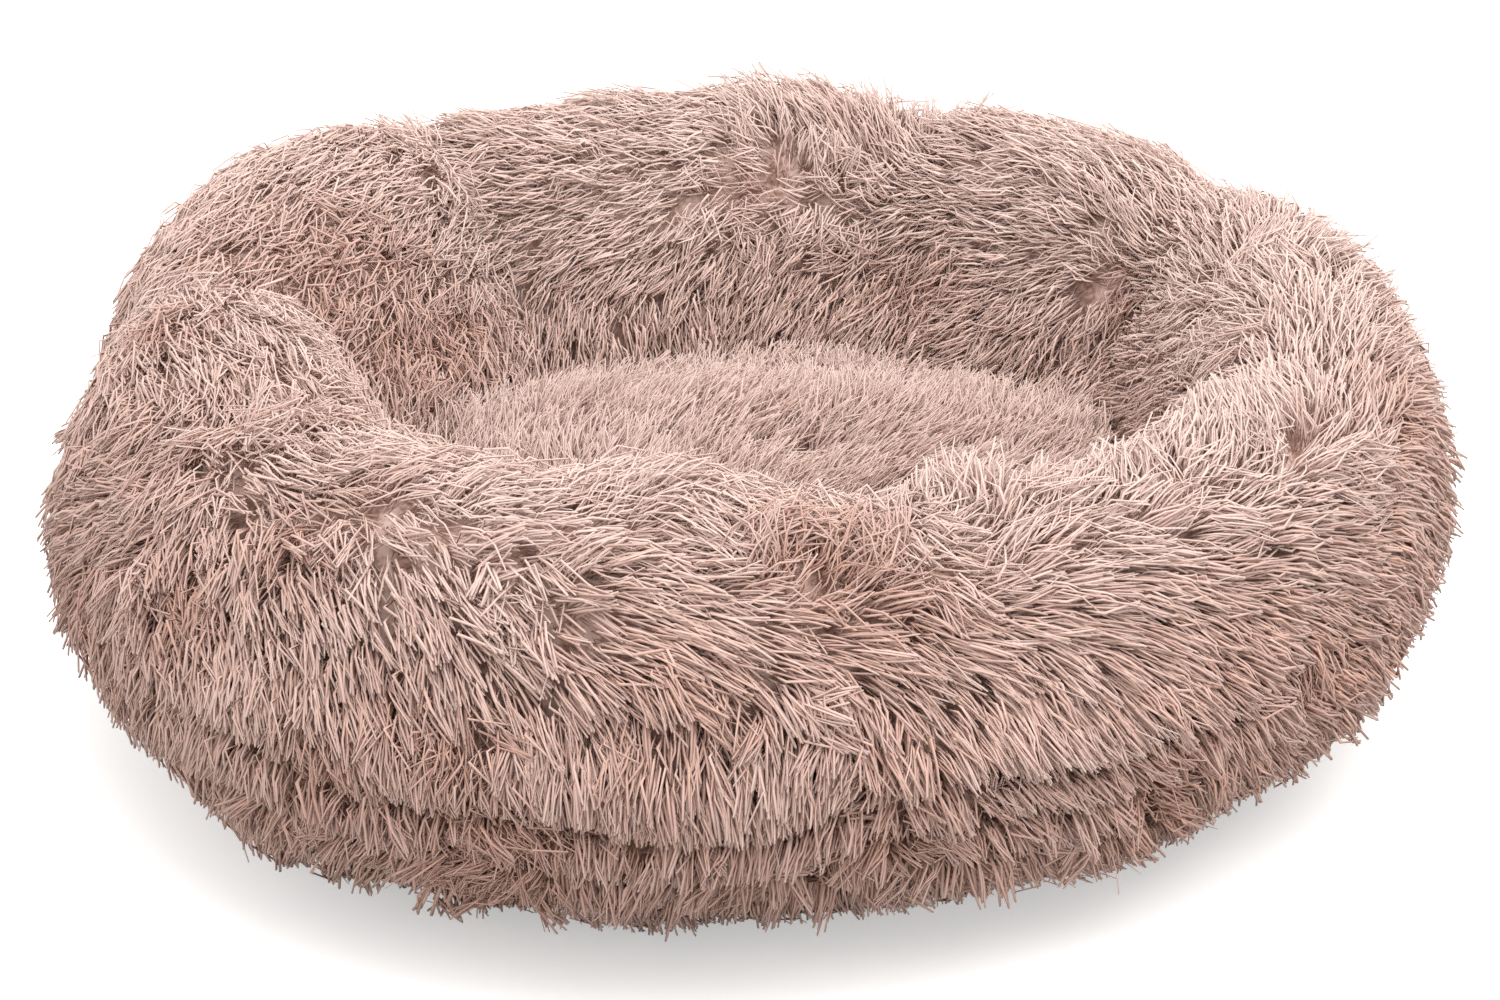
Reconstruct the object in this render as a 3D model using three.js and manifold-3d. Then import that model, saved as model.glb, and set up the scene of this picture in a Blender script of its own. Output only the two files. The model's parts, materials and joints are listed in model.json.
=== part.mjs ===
// A round plush pet bed: a stuffed ring of long-haired fur sewn round a plump fur cushion.
//
// The bed lies on the floor with +Z up and +X to its right, and the origin is the middle of its underside.
// Its front is -Y. All lengths are in millimetres. A share is a part of one, and a turn share is a part of
// a full turn, counted from +X towards +Y.
//
// The ring is sewn from fur panels that meet at drawn-in seams. Each panel is a shell as thick as its coat
// of hair lies, so that the outer faces follow the tips of the hair, and the fibre fill lies inside it.
// A cloth divider keeps the ring's fill apart from the cushion's, as it does in a sewn bed.

import * as THREE from 'three';
import { mergeVertices } from 'three/addons/utils/BufferGeometryUtils.js';
import Module from 'manifold-3d';

const wasm = await Module();
wasm.setup();

// Driving dimensions of the whole bed, measured to the tips of the hair.
const bedDiameter = 600;
const bedHeight = 194;
const nestDiameter = 306;
const nestSideShift = 15;
const ringMidHeight = 92;
const baseDiameter = 434;
const dividerFootSpread = 66;

// The coat and the cloths.
const coatThickness = 20;
const clothThickness = 2;
const sewnGap = 0.3;

// The base panel, with its moulded grip dots.
const baseClothThickness = 1.8;
const gripDotHeight = 0.8;
const gripDotRadius = 4;
const gripDotPitch = 50;
const gripDotMargin = 12;

// The cushion.
const cushionCrownHeight = 117;
const cushionSeamHeight = 62;
const cushionPlay = 0.9;
const cushionRoundnessShare = 0.3;
const tuftDepth = 7;
const tuftRadius = 24;
const tuftSideShift = 8;

// How the ring is stuffed, one row for each panel. Each panel starts at its seam, which is drawn in by
// creaseShare of the ring's thickness. reachShare and riseShare say how much further out and higher
// than the plain ring the middle of the panel stands.
const panels = [
  {
    name: 'bolster_panel_front_left',
    seamTurnShare: -0.411,
    creaseShare: 0.1,
    reachShare: 0.065,
    riseShare: -0.01,
  },
  {
    name: 'bolster_panel_front_right',
    seamTurnShare: -0.244,
    creaseShare: 0.05,
    reachShare: -0.006,
    riseShare: -0.07,
  },
  {
    name: 'bolster_panel_right',
    seamTurnShare: -0.05,
    creaseShare: 0.1,
    reachShare: 0.034,
    riseShare: 0.01,
  },
  {
    name: 'bolster_panel_back_right',
    seamTurnShare: 0.078,
    creaseShare: 0.12,
    reachShare: -0.005,
    riseShare: 0.005,
  },
  {
    name: 'bolster_panel_back',
    seamTurnShare: 0.189,
    creaseShare: 0.13,
    reachShare: -0.045,
    riseShare: 0,
  },
  {
    name: 'bolster_panel_back_left',
    seamTurnShare: 0.356,
    creaseShare: 0.19,
    reachShare: 0.005,
    riseShare: 0.08,
  },
  {
    name: 'bolster_panel_left',
    seamTurnShare: 0.494,
    creaseShare: 0.11,
    reachShare: 0.006,
    riseShare: 0.015,
  },
];
const outerCreaseShare = 0.35;
const creaseSpreadShare = 0.022;
const lumpSpreadShare = 0.085;

// Angles round the ring's section, in degrees: 0 faces outwards, 90 up, and 180 into the nest.
const baseSeamGirth = -80;
const nestSeamGirth = 196;
const coatFadeGirth = 36;

// How much of the ring's foot stays on the round plan of the base.
const footRoundShare = 0.22;

// How much of a seam's crease the cushion fills where it presses on the ring's inner wall.
const cushionPressShare = 0.7;

// Corners nearer than this share of a sewn gap are one corner.
const mergeShare = 0.01;

// How finely the soft forms are drawn.
const columnSpan = 7.5;
const fewestColumns = 3;
const panelRows = 16;
const dividerRows = 4;
const cushionColumns = 32;
const cushionRows = 10;
const baseSides = 60;
const dotSides = 6;

// Sizes that follow from the driving ones.
const fullTurn = 2 * Math.PI;
const bedRadius = bedDiameter / 2;
const nestRadius = nestDiameter / 2;
const ringThickness = bedRadius - nestRadius;
const baseTop = gripDotHeight + baseClothThickness;
const ringFoot = baseTop + sewnGap;
const ringRise = bedHeight - ringMidHeight;
const ringDrop = ringMidHeight - ringFoot;
const cushionRadius = nestRadius - cushionPlay;
const baseRadius = baseDiameter / 2;
const dividerFootRadius = nestRadius + dividerFootSpread / 2;

function smoothStep(low, high, value) {
  const share = THREE.MathUtils.clamp((value - low) / (high - low), 0, 1);
  return share * share * (3 - 2 * share);
}

// The shortest way round from one turn share to another.
function turnBetween(from, to) {
  const difference = to - from;
  return difference - Math.round(difference);
}

function bell(distance, spread) {
  return Math.exp(-((distance / spread) ** 2));
}

function panelSpanShare(index) {
  const next = panels[(index + 1) % panels.length];
  const span = next.seamTurnShare - panels[index].seamTurnShare;
  return span - Math.floor(span);
}

function panelMiddleShare(index) {
  return panels[index].seamTurnShare + panelSpanShare(index) / 2;
}

// The stuffing's reach or rise at one turn share, blended smoothly from panel to panel.
function lumpAt(turnShare, key) {
  let sum = 0;
  let weights = 0;
  panels.forEach((panel, index) => {
    const weight = bell(turnBetween(panelMiddleShare(index), turnShare), lumpSpreadShare);
    sum += weight * panel[key];
    weights += weight;
  });
  return sum / weights;
}

// How far the seams draw the ring in at one turn share. They pull in full on the nest's side, where the
// panels are gathered, and less on the outside. outward is 1 on the outside and -1 in the nest.
function creaseAt(turnShare, outward) {
  let depth = 0;
  for (const panel of panels) {
    const nearness = bell(turnBetween(panel.seamTurnShare, turnShare), creaseSpreadShare);
    depth += panel.creaseShare * ringThickness * nearness;
  }
  return depth * THREE.MathUtils.lerp(1, outerCreaseShare, (1 + outward) / 2);
}

// The nest's wall, seen from the middle of the bed: a circle that is set a little to the right,
// because the ring is stuffed fuller on the left.
function nestWallAt(turn) {
  const across = nestSideShift * Math.sin(turn);
  return nestSideShift * Math.cos(turn) + Math.sqrt(nestRadius * nestRadius - across * across);
}

// A point of the ring. girth is the angle round its section in degrees, and inset the depth below the
// tips of the hair. Under its widest line the ring curves in to the seam at the base, and it lies flat
// from there inwards.
function ringPoint(turnShare, girth, inset) {
  const turn = turnShare * fullTurn;
  const around = THREE.MathUtils.degToRad(girth);
  const outward = Math.cos(around);
  const upward = Math.sin(around);
  const follow = smoothStep(0, footRoundShare, (1 + upward) / 2);
  const pressed = smoothStep(nestSeamGirth - coatFadeGirth, nestSeamGirth, girth);
  const depth = inset + follow * (1 - pressed * cushionPressShare) * creaseAt(turnShare, outward);
  const reach = bedRadius * (1 + follow * lumpAt(turnShare, 'reachShare')) - depth;
  const wall = THREE.MathUtils.lerp(nestRadius, nestWallAt(turn), follow) + depth;
  let radius = (reach + wall) / 2 + ((reach - wall) / 2) * outward;
  let height = ringMidHeight;
  if (upward >= 0) {
    height += (ringRise + bedHeight * lumpAt(turnShare, 'riseShare') - depth) * upward;
  } else {
    const flatFrom = THREE.MathUtils.degToRad(baseSeamGirth);
    const spread = (Math.abs(outward) - Math.cos(flatFrom)) / (1 - Math.cos(flatFrom));
    const [foot, side] = outward > 0 ? [baseRadius - depth, reach] : [dividerFootRadius + depth, wall];
    radius = THREE.MathUtils.lerp(foot, side, spread);
    height -= (ringDrop - depth) * Math.min(1, upward / Math.sin(flatFrom));
  }
  return new THREE.Vector3(radius * Math.cos(turn), radius * Math.sin(turn), height);
}

// The coat thins to its backing cloth towards the seams at the base and at the nest.
function coverThicknessAt(girth) {
  const fromBase = smoothStep(baseSeamGirth, baseSeamGirth + coatFadeGirth, girth);
  const fromNest = 1 - smoothStep(nestSeamGirth - coatFadeGirth, nestSeamGirth, girth);
  return clothThickness + (coatThickness - clothThickness) * fromBase * fromNest;
}

function stepsBetween(from, to, count) {
  return Array.from({ length: count + 1 }, (_, step) => THREE.MathUtils.lerp(from, to, step / count));
}

// The turn shares of one panel's columns, from its seam to the next.
function panelTurns(index) {
  const span = panelSpanShare(index);
  const count = Math.max(fewestColumns, Math.round((span * 360) / columnSpan));
  return stepsBetween(panels[index].seamTurnShare, panels[index].seamTurnShare + span, count);
}

// Triangles over a grid of points. A wrapped grid joins its last row or column to its first.
function gridTriangles(grid, wrapRows, wrapColumns) {
  const triangles = [];
  const rows = grid.length;
  const columns = grid[0].length;
  for (let row = 0; row < (wrapRows ? rows : rows - 1); row += 1) {
    for (let column = 0; column < (wrapColumns ? columns : columns - 1); column += 1) {
      const here = grid[row];
      const next = grid[(row + 1) % rows];
      const beside = (column + 1) % columns;
      triangles.push([here[column], next[column], next[beside]]);
      triangles.push([here[column], next[beside], here[beside]]);
    }
  }
  return triangles;
}

// A closed body from triangles: shared corners are merged, flat ones dropped and faces turned outwards.
function bodyFrom(triangles) {
  const loose = new THREE.BufferGeometry();
  const corners = triangles.flat().flatMap((point) => [point.x, point.y, point.z]);
  loose.setAttribute('position', new THREE.Float32BufferAttribute(corners, 3));
  const merged = mergeVertices(loose, sewnGap * mergeShare);
  const index = Array.from(merged.index.array);
  const kept = [];
  for (let at = 0; at < index.length; at += 3) {
    const [a, b, c] = index.slice(at, at + 3);
    if (a !== b && b !== c && c !== a) {
      kept.push([a, b, c]);
    }
  }
  const place = merged.getAttribute('position');
  const corner = (number) => new THREE.Vector3().fromBufferAttribute(place, number);
  const volume = kept.reduce((sum, [a, b, c]) => sum + corner(a).dot(corner(b).cross(corner(c))), 0);
  merged.setIndex(kept.flatMap(([a, b, c]) => (volume > 0 ? [a, b, c] : [a, c, b])));
  merged.computeVertexNormals();
  return merged;
}

// A shell between two grids of the same size, closed by strips along its free edges.
function shellBetween(outer, inner, wrapRows) {
  const triangles = gridTriangles(outer, wrapRows, false);
  triangles.push(...gridTriangles(inner, wrapRows, false).map(([a, b, c]) => [a, c, b]));
  const last = outer[0].length - 1;
  const rim = (column) => [outer.map((row) => row[column]), inner.map((row) => row[column])];
  triangles.push(...gridTriangles(rim(0), false, wrapRows));
  triangles.push(...gridTriangles(rim(last), false, wrapRows).map(([a, b, c]) => [a, c, b]));
  if (!wrapRows) {
    const end = outer.length - 1;
    triangles.push(...gridTriangles([outer[0], inner[0]], false, false).map(([a, b, c]) => [a, c, b]));
    triangles.push(...gridTriangles([outer[end], inner[end]], false, false));
  }
  return bodyFrom(triangles);
}

// Materials, with the colours of the cloths.
function cloth(color, roughness) {
  return new THREE.MeshStandardMaterial({ color, roughness, metalness: 0 });
}
const furColor = 0xc7a79b;
const furPanelCloth = () => cloth(furColor, 0.95);
const cushionFurCloth = () => cloth(0xd6b8ac, 0.95);
const baseCloth = () => cloth(0x4a4644, 0.8);
const liningCloth = () => cloth(0xe8e4de, 0.9);
const fibreFill = () => cloth(0xf4f2ee, 1);

const bed = new THREE.Group();

function addPiece(name, geometry, material) {
  const piece = new THREE.Mesh(geometry, material);
  piece.name = name;
  bed.add(piece);
  return piece;
}

// The rows of the panels and of the divider, which the fill inside them follows too.
const panelGirths = stepsBetween(baseSeamGirth, nestSeamGirth, panelRows);
const dividerHeadGirth = nestSeamGirth + THREE.MathUtils.radToDeg((2 * sewnGap) / ringThickness);
const dividerFootGirth = 180 - baseSeamGirth;
const dividerGirths = stepsBetween(dividerHeadGirth, dividerFootGirth, dividerRows);

// A fur panel of the ring, from seam to seam. Its two ends stand back by half the sewn gap.
function furPanel(index) {
  const turns = panelTurns(index);
  const standBack = (turnShare, step) => {
    const turn = turnShare * fullTurn;
    const along = new THREE.Vector3(-Math.sin(turn), Math.cos(turn), 0);
    const side = step === 0 ? 1 : step === turns.length - 1 ? -1 : 0;
    return along.multiplyScalar((side * sewnGap) / 2);
  };
  const face = (insetAt) => turns.map((turnShare, step) => panelGirths.map((girth) => (
    ringPoint(turnShare, girth, insetAt(girth)).add(standBack(turnShare, step)))));
  return shellBetween(face(() => 0), face(coverThicknessAt), false);
}
panels.forEach((panel, index) => addPiece(panel.name, furPanel(index), furPanelCloth()));

// Every column round the ring, without its repeats at the seams.
const ringTurns = panels.flatMap((_, index) => panelTurns(index).slice(0, -1));

// The divider carries on from the fur at the nest's seam, down to the base.
function nestDivider() {
  const face = (inset) => ringTurns.map((turnShare) => dividerGirths.map((girth) => (
    ringPoint(turnShare, girth, inset))));
  return shellBetween(face(0), face(clothThickness), true);
}
addPiece('nest_divider', nestDivider(), liningCloth());

// The ring's fibre fill, just inside the panels and the divider.
function bolsterFill() {
  const girths = [...panelGirths, ...dividerGirths.slice(1)];
  const insetAt = (girth) => coverThicknessAt(girth) + sewnGap;
  const grid = ringTurns.map((turnShare) => girths.map((girth) => (
    ringPoint(turnShare, girth, insetAt(girth)))));
  return bodyFrom(gridTriangles(grid, true, true));
}
addPiece('bolster_fill', bolsterFill(), fibreFill());

// A point of the cushion, from its crown at angle 0 over its seam at 90 to the middle of its underside
// at 180. The sides draw in towards the seam, and a stitch pulls a shallow tuft into the crown.
function cushionPoint(turnShare, angle, inset, seamHeight = cushionSeamHeight) {
  const turn = turnShare * fullTurn;
  const around = THREE.MathUtils.degToRad(angle);
  const radius = (cushionRadius - inset) * Math.sin(around);
  const flatness = Math.abs(Math.cos(around)) ** cushionRoundnessShare;
  const across = radius * Math.cos(turn);
  const along = radius * Math.sin(turn);
  let height = seamHeight;
  if (angle < 90) {
    const tuft = tuftDepth * bell(Math.hypot(across - tuftSideShift, along), tuftRadius);
    height += (cushionCrownHeight - seamHeight - inset - tuft) * flatness;
  } else if (angle > 90) {
    height -= (seamHeight - ringFoot - inset) * flatness;
  }
  return new THREE.Vector3(nestSideShift + across, along, height);
}

function cushionCoatAt(angle) {
  const fade = smoothStep(90 - coatFadeGirth, 90, angle);
  return clothThickness + (coatThickness - clothThickness) * (1 - fade);
}

const cushionTurns = stepsBetween(0, 1, cushionColumns).slice(0, -1);
const topAngles = stepsBetween(0, 90, cushionRows);
const undersideAngles = stepsBetween(90, 180, cushionRows);

function cushionTop() {
  const face = (insetAt) => cushionTurns.map((turnShare) => topAngles.map((angle) => (
    cushionPoint(turnShare, angle, insetAt(angle)))));
  return shellBetween(face(() => 0), face(cushionCoatAt), true);
}
addPiece('cushion_top_cover', cushionTop(), cushionFurCloth());

function cushionUnderside() {
  const face = (inset) => cushionTurns.map((turnShare) => undersideAngles.map((angle) => (
    cushionPoint(turnShare, angle, inset, cushionSeamHeight - sewnGap))));
  return shellBetween(face(0), face(clothThickness), true);
}
addPiece('cushion_underside', cushionUnderside(), liningCloth());

function cushionFill() {
  const angles = [...topAngles, ...undersideAngles.slice(1)];
  const insetAt = (angle) => (angle > 90 ? clothThickness : cushionCoatAt(angle)) + sewnGap;
  const grid = cushionTurns.map((turnShare) => angles.map((angle) => (
    cushionPoint(turnShare, angle, insetAt(angle)))));
  return bodyFrom(gridTriangles(grid, true, false));
}
addPiece('cushion_fill', cushionFill(), fibreFill());

// A solid for joining and cutting, from a closed geometry.
function solidFrom(geometry) {
  const bare = geometry.clone();
  bare.deleteAttribute('normal');
  bare.deleteAttribute('uv');
  const merged = mergeVertices(bare, sewnGap * mergeShare);
  const mesh = new wasm.Mesh({
    numProp: 3,
    vertProperties: new Float32Array(merged.getAttribute('position').array),
    triVerts: new Uint32Array(merged.index.array),
  });
  return new wasm.Manifold(mesh);
}

function geometryFrom(solid) {
  const mesh = solid.getMesh();
  const geometry = new THREE.BufferGeometry();
  geometry.setAttribute('position', new THREE.BufferAttribute(new Float32Array(mesh.vertProperties), 3));
  geometry.setIndex(new THREE.BufferAttribute(new Uint32Array(mesh.triVerts), 1));
  geometry.computeVertexNormals();
  return geometry;
}

// The base panel: a disc of coated cloth with grip dots moulded on its underside in a triangular pattern.
// Its rim is sewn to the foot of the fur.
function standingDisc(radius, foot, top, sides) {
  const disc = new THREE.CylinderGeometry(radius, radius, top - foot, sides);
  disc.rotateX(Math.PI / 2);
  disc.translate(0, 0, (foot + top) / 2);
  return solidFrom(disc);
}

function dotPlaces() {
  const places = [];
  const rowStep = gripDotPitch * Math.sin(Math.PI / 3);
  const rows = Math.floor(baseRadius / rowStep);
  const inRow = Math.ceil(baseRadius / gripDotPitch);
  for (let row = -rows; row <= rows; row += 1) {
    const stagger = row % 2 === 0 ? 0 : gripDotPitch / 2;
    for (let dot = -inRow; dot <= inRow; dot += 1) {
      const place = new THREE.Vector2(dot * gripDotPitch + stagger, row * rowStep);
      if (place.length() < baseRadius - gripDotRadius - gripDotMargin) {
        places.push(place);
      }
    }
  }
  return places;
}

function basePanel() {
  const sheet = standingDisc(baseRadius, gripDotHeight, baseTop, baseSides);
  const dot = standingDisc(gripDotRadius, 0, gripDotHeight + baseClothThickness / 2, dotSides);
  return dotPlaces().reduce((panel, place) => panel.add(dot.translate([place.x, place.y, 0])), sheet);
}
addPiece('base_panel', geometryFrom(basePanel()), baseCloth());

export default bed;
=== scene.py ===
# %% [markdown]
# # A round plush dog bed
# The real object is a ring-shaped bolster of long pile fur, stuffed with loose fibre, round a domed
# cushion of the same fur, all sewn to a round base cloth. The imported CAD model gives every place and
# size. This lesson dresses it: two stuffed pads, a coat of combed fur locks on each sewn panel, and a
# woven base cloth with grip dots.

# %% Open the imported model
import json
import math

import bmesh
import bpy
import numpy as np
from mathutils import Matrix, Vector

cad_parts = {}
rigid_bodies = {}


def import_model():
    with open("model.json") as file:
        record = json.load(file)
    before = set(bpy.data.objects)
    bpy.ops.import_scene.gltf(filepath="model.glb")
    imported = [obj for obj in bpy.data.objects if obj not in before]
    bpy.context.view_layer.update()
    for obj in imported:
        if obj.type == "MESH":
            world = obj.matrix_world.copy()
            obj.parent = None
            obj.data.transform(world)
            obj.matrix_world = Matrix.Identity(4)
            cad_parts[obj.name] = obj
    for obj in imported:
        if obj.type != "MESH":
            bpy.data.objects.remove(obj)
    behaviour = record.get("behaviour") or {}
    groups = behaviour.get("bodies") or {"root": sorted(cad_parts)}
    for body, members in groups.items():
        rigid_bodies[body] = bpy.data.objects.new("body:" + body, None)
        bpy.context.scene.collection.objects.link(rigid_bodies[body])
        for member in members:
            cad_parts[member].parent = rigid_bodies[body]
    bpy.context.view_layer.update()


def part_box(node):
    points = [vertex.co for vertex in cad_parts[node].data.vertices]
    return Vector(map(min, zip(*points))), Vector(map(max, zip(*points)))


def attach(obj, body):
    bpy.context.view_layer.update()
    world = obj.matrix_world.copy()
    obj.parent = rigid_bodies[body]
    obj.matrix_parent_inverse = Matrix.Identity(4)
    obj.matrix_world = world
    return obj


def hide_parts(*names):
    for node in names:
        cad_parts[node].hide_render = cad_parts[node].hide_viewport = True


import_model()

# %% [markdown]
# Lengths are written in millimetres and colours as the hex values of a paint picker. Blender wants
# metres and linear light, so two small helpers turn them round. One more helper adds a node to any
# tree with its settings and its links, which keeps every tree below short enough to read.

# %% Units, colours and nodes
mm = 0.001


def linear(hex_colour):
    """An sRGB hex value as the linear colour that a shader socket takes."""
    parts = [int(hex_colour[i:i + 2], 16) / 255 for i in (0, 2, 4)]
    return (*[p / 12.92 if p <= 0.04045 else ((p + 0.055) / 1.055) ** 2.4 for p in parts], 1.0)


def add(tree, kind, *feeds, stops=(), **settings):
    """Adds a node with its settings and links, and gives its first output in use.

    A feed is a plain value or another node's output, for the next input, or a dict of such by the names
    of the inputs. stops are the places and hex colours of a colour ramp. The settings are the node's own.
    """
    node = tree.nodes.new(kind)
    for name, value in settings.items():
        setattr(node, name, value)
    inputs = {}
    for feed in feeds:
        inputs.update(feed if isinstance(feed, dict) else {len(inputs): feed})
    for key, value in inputs.items():
        named = (socket for socket in node.inputs if socket.name == key and socket.enabled)
        socket = node.inputs[key] if isinstance(key, int) else next(named)
        if isinstance(value, bpy.types.NodeSocket):
            tree.links.new(value, socket)
        else:
            socket.default_value = value
    for _ in stops[2:]:
        node.color_ramp.elements.new(0.5)
    for number, (place, colour) in enumerate(stops):
        element = node.color_ramp.elements[number]
        element.position, element.color = place, linear(colour)
    return next((output for output in node.outputs if output.enabled), None)


# %% Empty a node tree
def bare_tree(owner):
    """The emptied node tree of a material or of the world."""
    owner.use_nodes = True
    owner.node_tree.nodes.clear()
    return owner.node_tree


# %% [markdown]
# The photograph looks down at the bed from the front by about 24 degrees, with a long lens, so the
# ring's far side is hardly smaller than its near side. The camera stands 1.8 m from the middle of the
# bed. The small shift puts the bed where it lies in the picture.

# %% Camera
camera_rise = math.radians(24)
camera_reach = 1.8
aim = Vector((0, 0, 90 * mm))
picture_width = 1500
lens_data = bpy.data.cameras.new("photo_camera")
lens_data.lens = 100.1
lens_data.sensor_width = 36
lens_data.shift_x = 8.5 / picture_width
lens_data.shift_y = -14.7 / picture_width
camera = bpy.data.objects.new("photo_camera", lens_data)
bpy.context.scene.collection.objects.link(camera)
camera.location = aim + camera_reach * Vector((0, -math.cos(camera_rise), math.sin(camera_rise)))
camera.rotation_euler = (aim - camera.location).to_track_quat("-Z", "Y").to_euler()
bpy.context.scene.camera = camera
print("camera at", [round(c, 3) for c in camera.location])

# %% [markdown]
# A bed photographed for a shop stands on white paper in soft light from all sides, a little stronger
# from above. The floor here is pale, and its material looks white to the camera wherever no shadow
# falls. A white world gives most of the light, so that the shade between the locks stays soft, and one
# wide soft box above and to the right gives the pile its direction.

# %% What the camera sees directly
scene = bpy.context.scene
scene.view_settings.view_transform = "Standard"


def object_from(name, data):
    """A new object in the scene that shows this mesh or lamp."""
    thing = bpy.data.objects.new(name, data)
    scene.collection.objects.link(thing)
    return thing


def seen_directly(tree):
    """1 for rays from the camera, from a mirror or through glass, and 0 for those that carry light."""
    ray = add(tree, "ShaderNodeLightPath").node.outputs
    near = add(tree, "ShaderNodeMath", ray["Is Camera Ray"], ray["Is Glossy Ray"], operation="MAXIMUM")
    return add(tree, "ShaderNodeMath", near, ray["Is Transmission Ray"], operation="MAXIMUM")


# %% Paper on the floor
floor_half = 6.0
corners = [(x * floor_half, y * floor_half, 0) for x, y in ((-1, -1), (1, -1), (1, 1), (-1, 1))]
floor_mesh = bpy.data.meshes.new("floor")
floor_mesh.from_pydata(corners, [], [(0, 1, 2, 3)])
paper = bpy.data.materials.new("matt_white_paper")
nodes = bare_tree(paper)
plain = add(nodes, "ShaderNodeBsdfDiffuse", {"Color": linear("9a9896")})
shown = add(nodes, "ShaderNodeBsdfDiffuse", {"Color": linear("e9e8e6")})
glow = add(nodes, "ShaderNodeEmission", {"Color": linear("ffffff"), "Strength": 0.4})
both = add(nodes, "ShaderNodeAddShader", shown, glow)
either = add(nodes, "ShaderNodeMixShader", seen_directly(nodes), plain, both)
add(nodes, "ShaderNodeOutputMaterial", either)
floor_mesh.materials.append(paper)
floor = object_from("floor", floor_mesh)

# %% World and lamp
world_light = 1.42
world = bpy.data.worlds.new("studio")
scene.world = world
nodes = bare_tree(world)
soft_light = add(nodes, "ShaderNodeBackground", {"Color": linear("ffffff"), "Strength": world_light})
white = add(nodes, "ShaderNodeBackground", {"Color": linear("ffffff"), "Strength": 1.0})
either = add(nodes, "ShaderNodeMixShader", seen_directly(nodes), soft_light, white)
add(nodes, "ShaderNodeOutputWorld", either)

lamp_data = bpy.data.lights.new("top_soft_box", "AREA")
lamp_data.size = 2.0
lamp_data.energy = 29
lamp = object_from("top_soft_box", lamp_data)
lamp.location = Vector((0.5, -0.5, 1.9))
lamp.rotation_euler = (aim - lamp.location).to_track_quat("-Z", "Y").to_euler()
print("soft box of", lamp_data.energy, "W and a world of", world_light)

# %% [markdown]
# Everything on the ring is placed with two angles: the azimuth, counted from the right-hand side as
# seen from above, and the girth, which goes round the bolster's section from 0 on the outside wall
# over 90 on the crest to 180 on the wall of the nest. These functions turn points into such angles and
# back to a plain ring, whose sizes are the model's own.

# %% Two angles for the ring
bed_radius = 300 * mm
nest_radius = 153 * mm
nest_shift = 15 * mm
mid_height = 92 * mm
rise = 102 * mm
drop = 89 * mm


def middle_and_half(azimuth):
    """The ring's middle radius and half its thickness at an azimuth in radians."""
    across = nest_shift * np.sin(azimuth)
    wall = nest_shift * np.cos(azimuth) + np.sqrt(nest_radius ** 2 - across ** 2)
    return (bed_radius + wall) / 2, (bed_radius - wall) / 2


def to_angles(points):
    """Azimuth and girth of points, in radians."""
    azimuth = np.arctan2(points[:, 1], points[:, 0])
    middle, half = middle_and_half(azimuth)
    up = points[:, 2] - mid_height
    up = up / np.where(up > 0, rise, drop)
    out = (np.hypot(points[:, 0], points[:, 1]) - middle) / half
    return azimuth, np.arctan2(up, out)


def girth_degrees(girth):
    """Girth from -120, under the outside, over 90 on the crest, to 240, under the nest."""
    turned = np.degrees(girth) % 360
    return np.where(turned > 240, turned - 360, turned)


def on_ring(azimuth, girth):
    """The point of the plain ring at these angles."""
    middle, half = middle_and_half(azimuth)
    radius = middle + half * np.cos(girth)
    up = np.sin(girth)
    height = mid_height + up * np.where(up > 0, rise, drop)
    return np.stack([radius * np.cos(azimuth), radius * np.sin(azimuth), height], 1)


# %% Fading and swelling
def fade(value, start, end):
    """0 before start and 1 after end, with a straight run between them. end may be the lower one."""
    return np.clip((value - start) / (end - start), 0, 1)


def dome(far, wide):
    """A smooth bump: 1 where far is 0, and about a third where it is as large as wide."""
    return np.exp(-(far / wide) ** 2)


# %% [markdown]
# A stuffed form is never quite smooth: the cloth is held at its seams and swells between them. Each pad
# starts from the CAD solid of its filling, remeshed to even squares, and a short cloth simulation with
# a little air pressure inside pushes it out, while the seams stay where they are. No point may move
# further than a few millimetres, so the pad keeps its size.

# %% Read and move the points of a mesh
def read(items, what="co"):
    """The places of a mesh's vertices as rows of three, or their normals, or those of its faces."""
    found = np.empty(len(items) * 3, np.float32)
    items.foreach_get(what, found)
    return found.reshape(-1, 3).astype(float)


def write(mesh, points):
    mesh.vertices.foreach_set("co", points.astype(np.float32).ravel())
    mesh.update()


def push_out(mesh, distance):
    """Moves each vertex along its normal by its own distance."""
    write(mesh, read(mesh.vertices) + read(mesh.vertices, "normal") * distance[:, None])


# %% Work the modifiers in
def settled(thing):
    """The object's mesh with its modifiers worked in, as a plain mesh."""
    graph = bpy.context.evaluated_depsgraph_get()
    mesh = bpy.data.meshes.new_from_object(thing.evaluated_get(graph), preserve_all_data_layers=True,
                                           depsgraph=graph)
    mesh.name = thing.name
    return mesh


def finish_mesh(thing):
    """Puts the worked-in mesh on the object and takes its modifiers off."""
    mesh = settled(thing)
    thing.modifiers.clear()
    thing.data = mesh


# %% A pad from a CAD solid
def pad_from(name, node, voxel):
    """A new object with the node's mesh, merged and remeshed to squares of this size."""
    work = bmesh.new()
    work.from_mesh(bpy.data.objects[node].data)
    bmesh.ops.remove_doubles(work, verts=work.verts, dist=0.01 * mm)
    mesh = bpy.data.meshes.new(name)
    work.to_mesh(mesh)
    work.free()
    pad = object_from(name, mesh)
    even = pad.modifiers.new("even", "REMESH")
    even.mode = "VOXEL"
    even.voxel_size = voxel
    calm = pad.modifiers.new("calm", "SMOOTH")
    calm.factor = 0.5
    calm.iterations = 4
    finish_mesh(pad)
    return pad


# %% Blow a pad up like cloth
cloth_steps = 20


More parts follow.
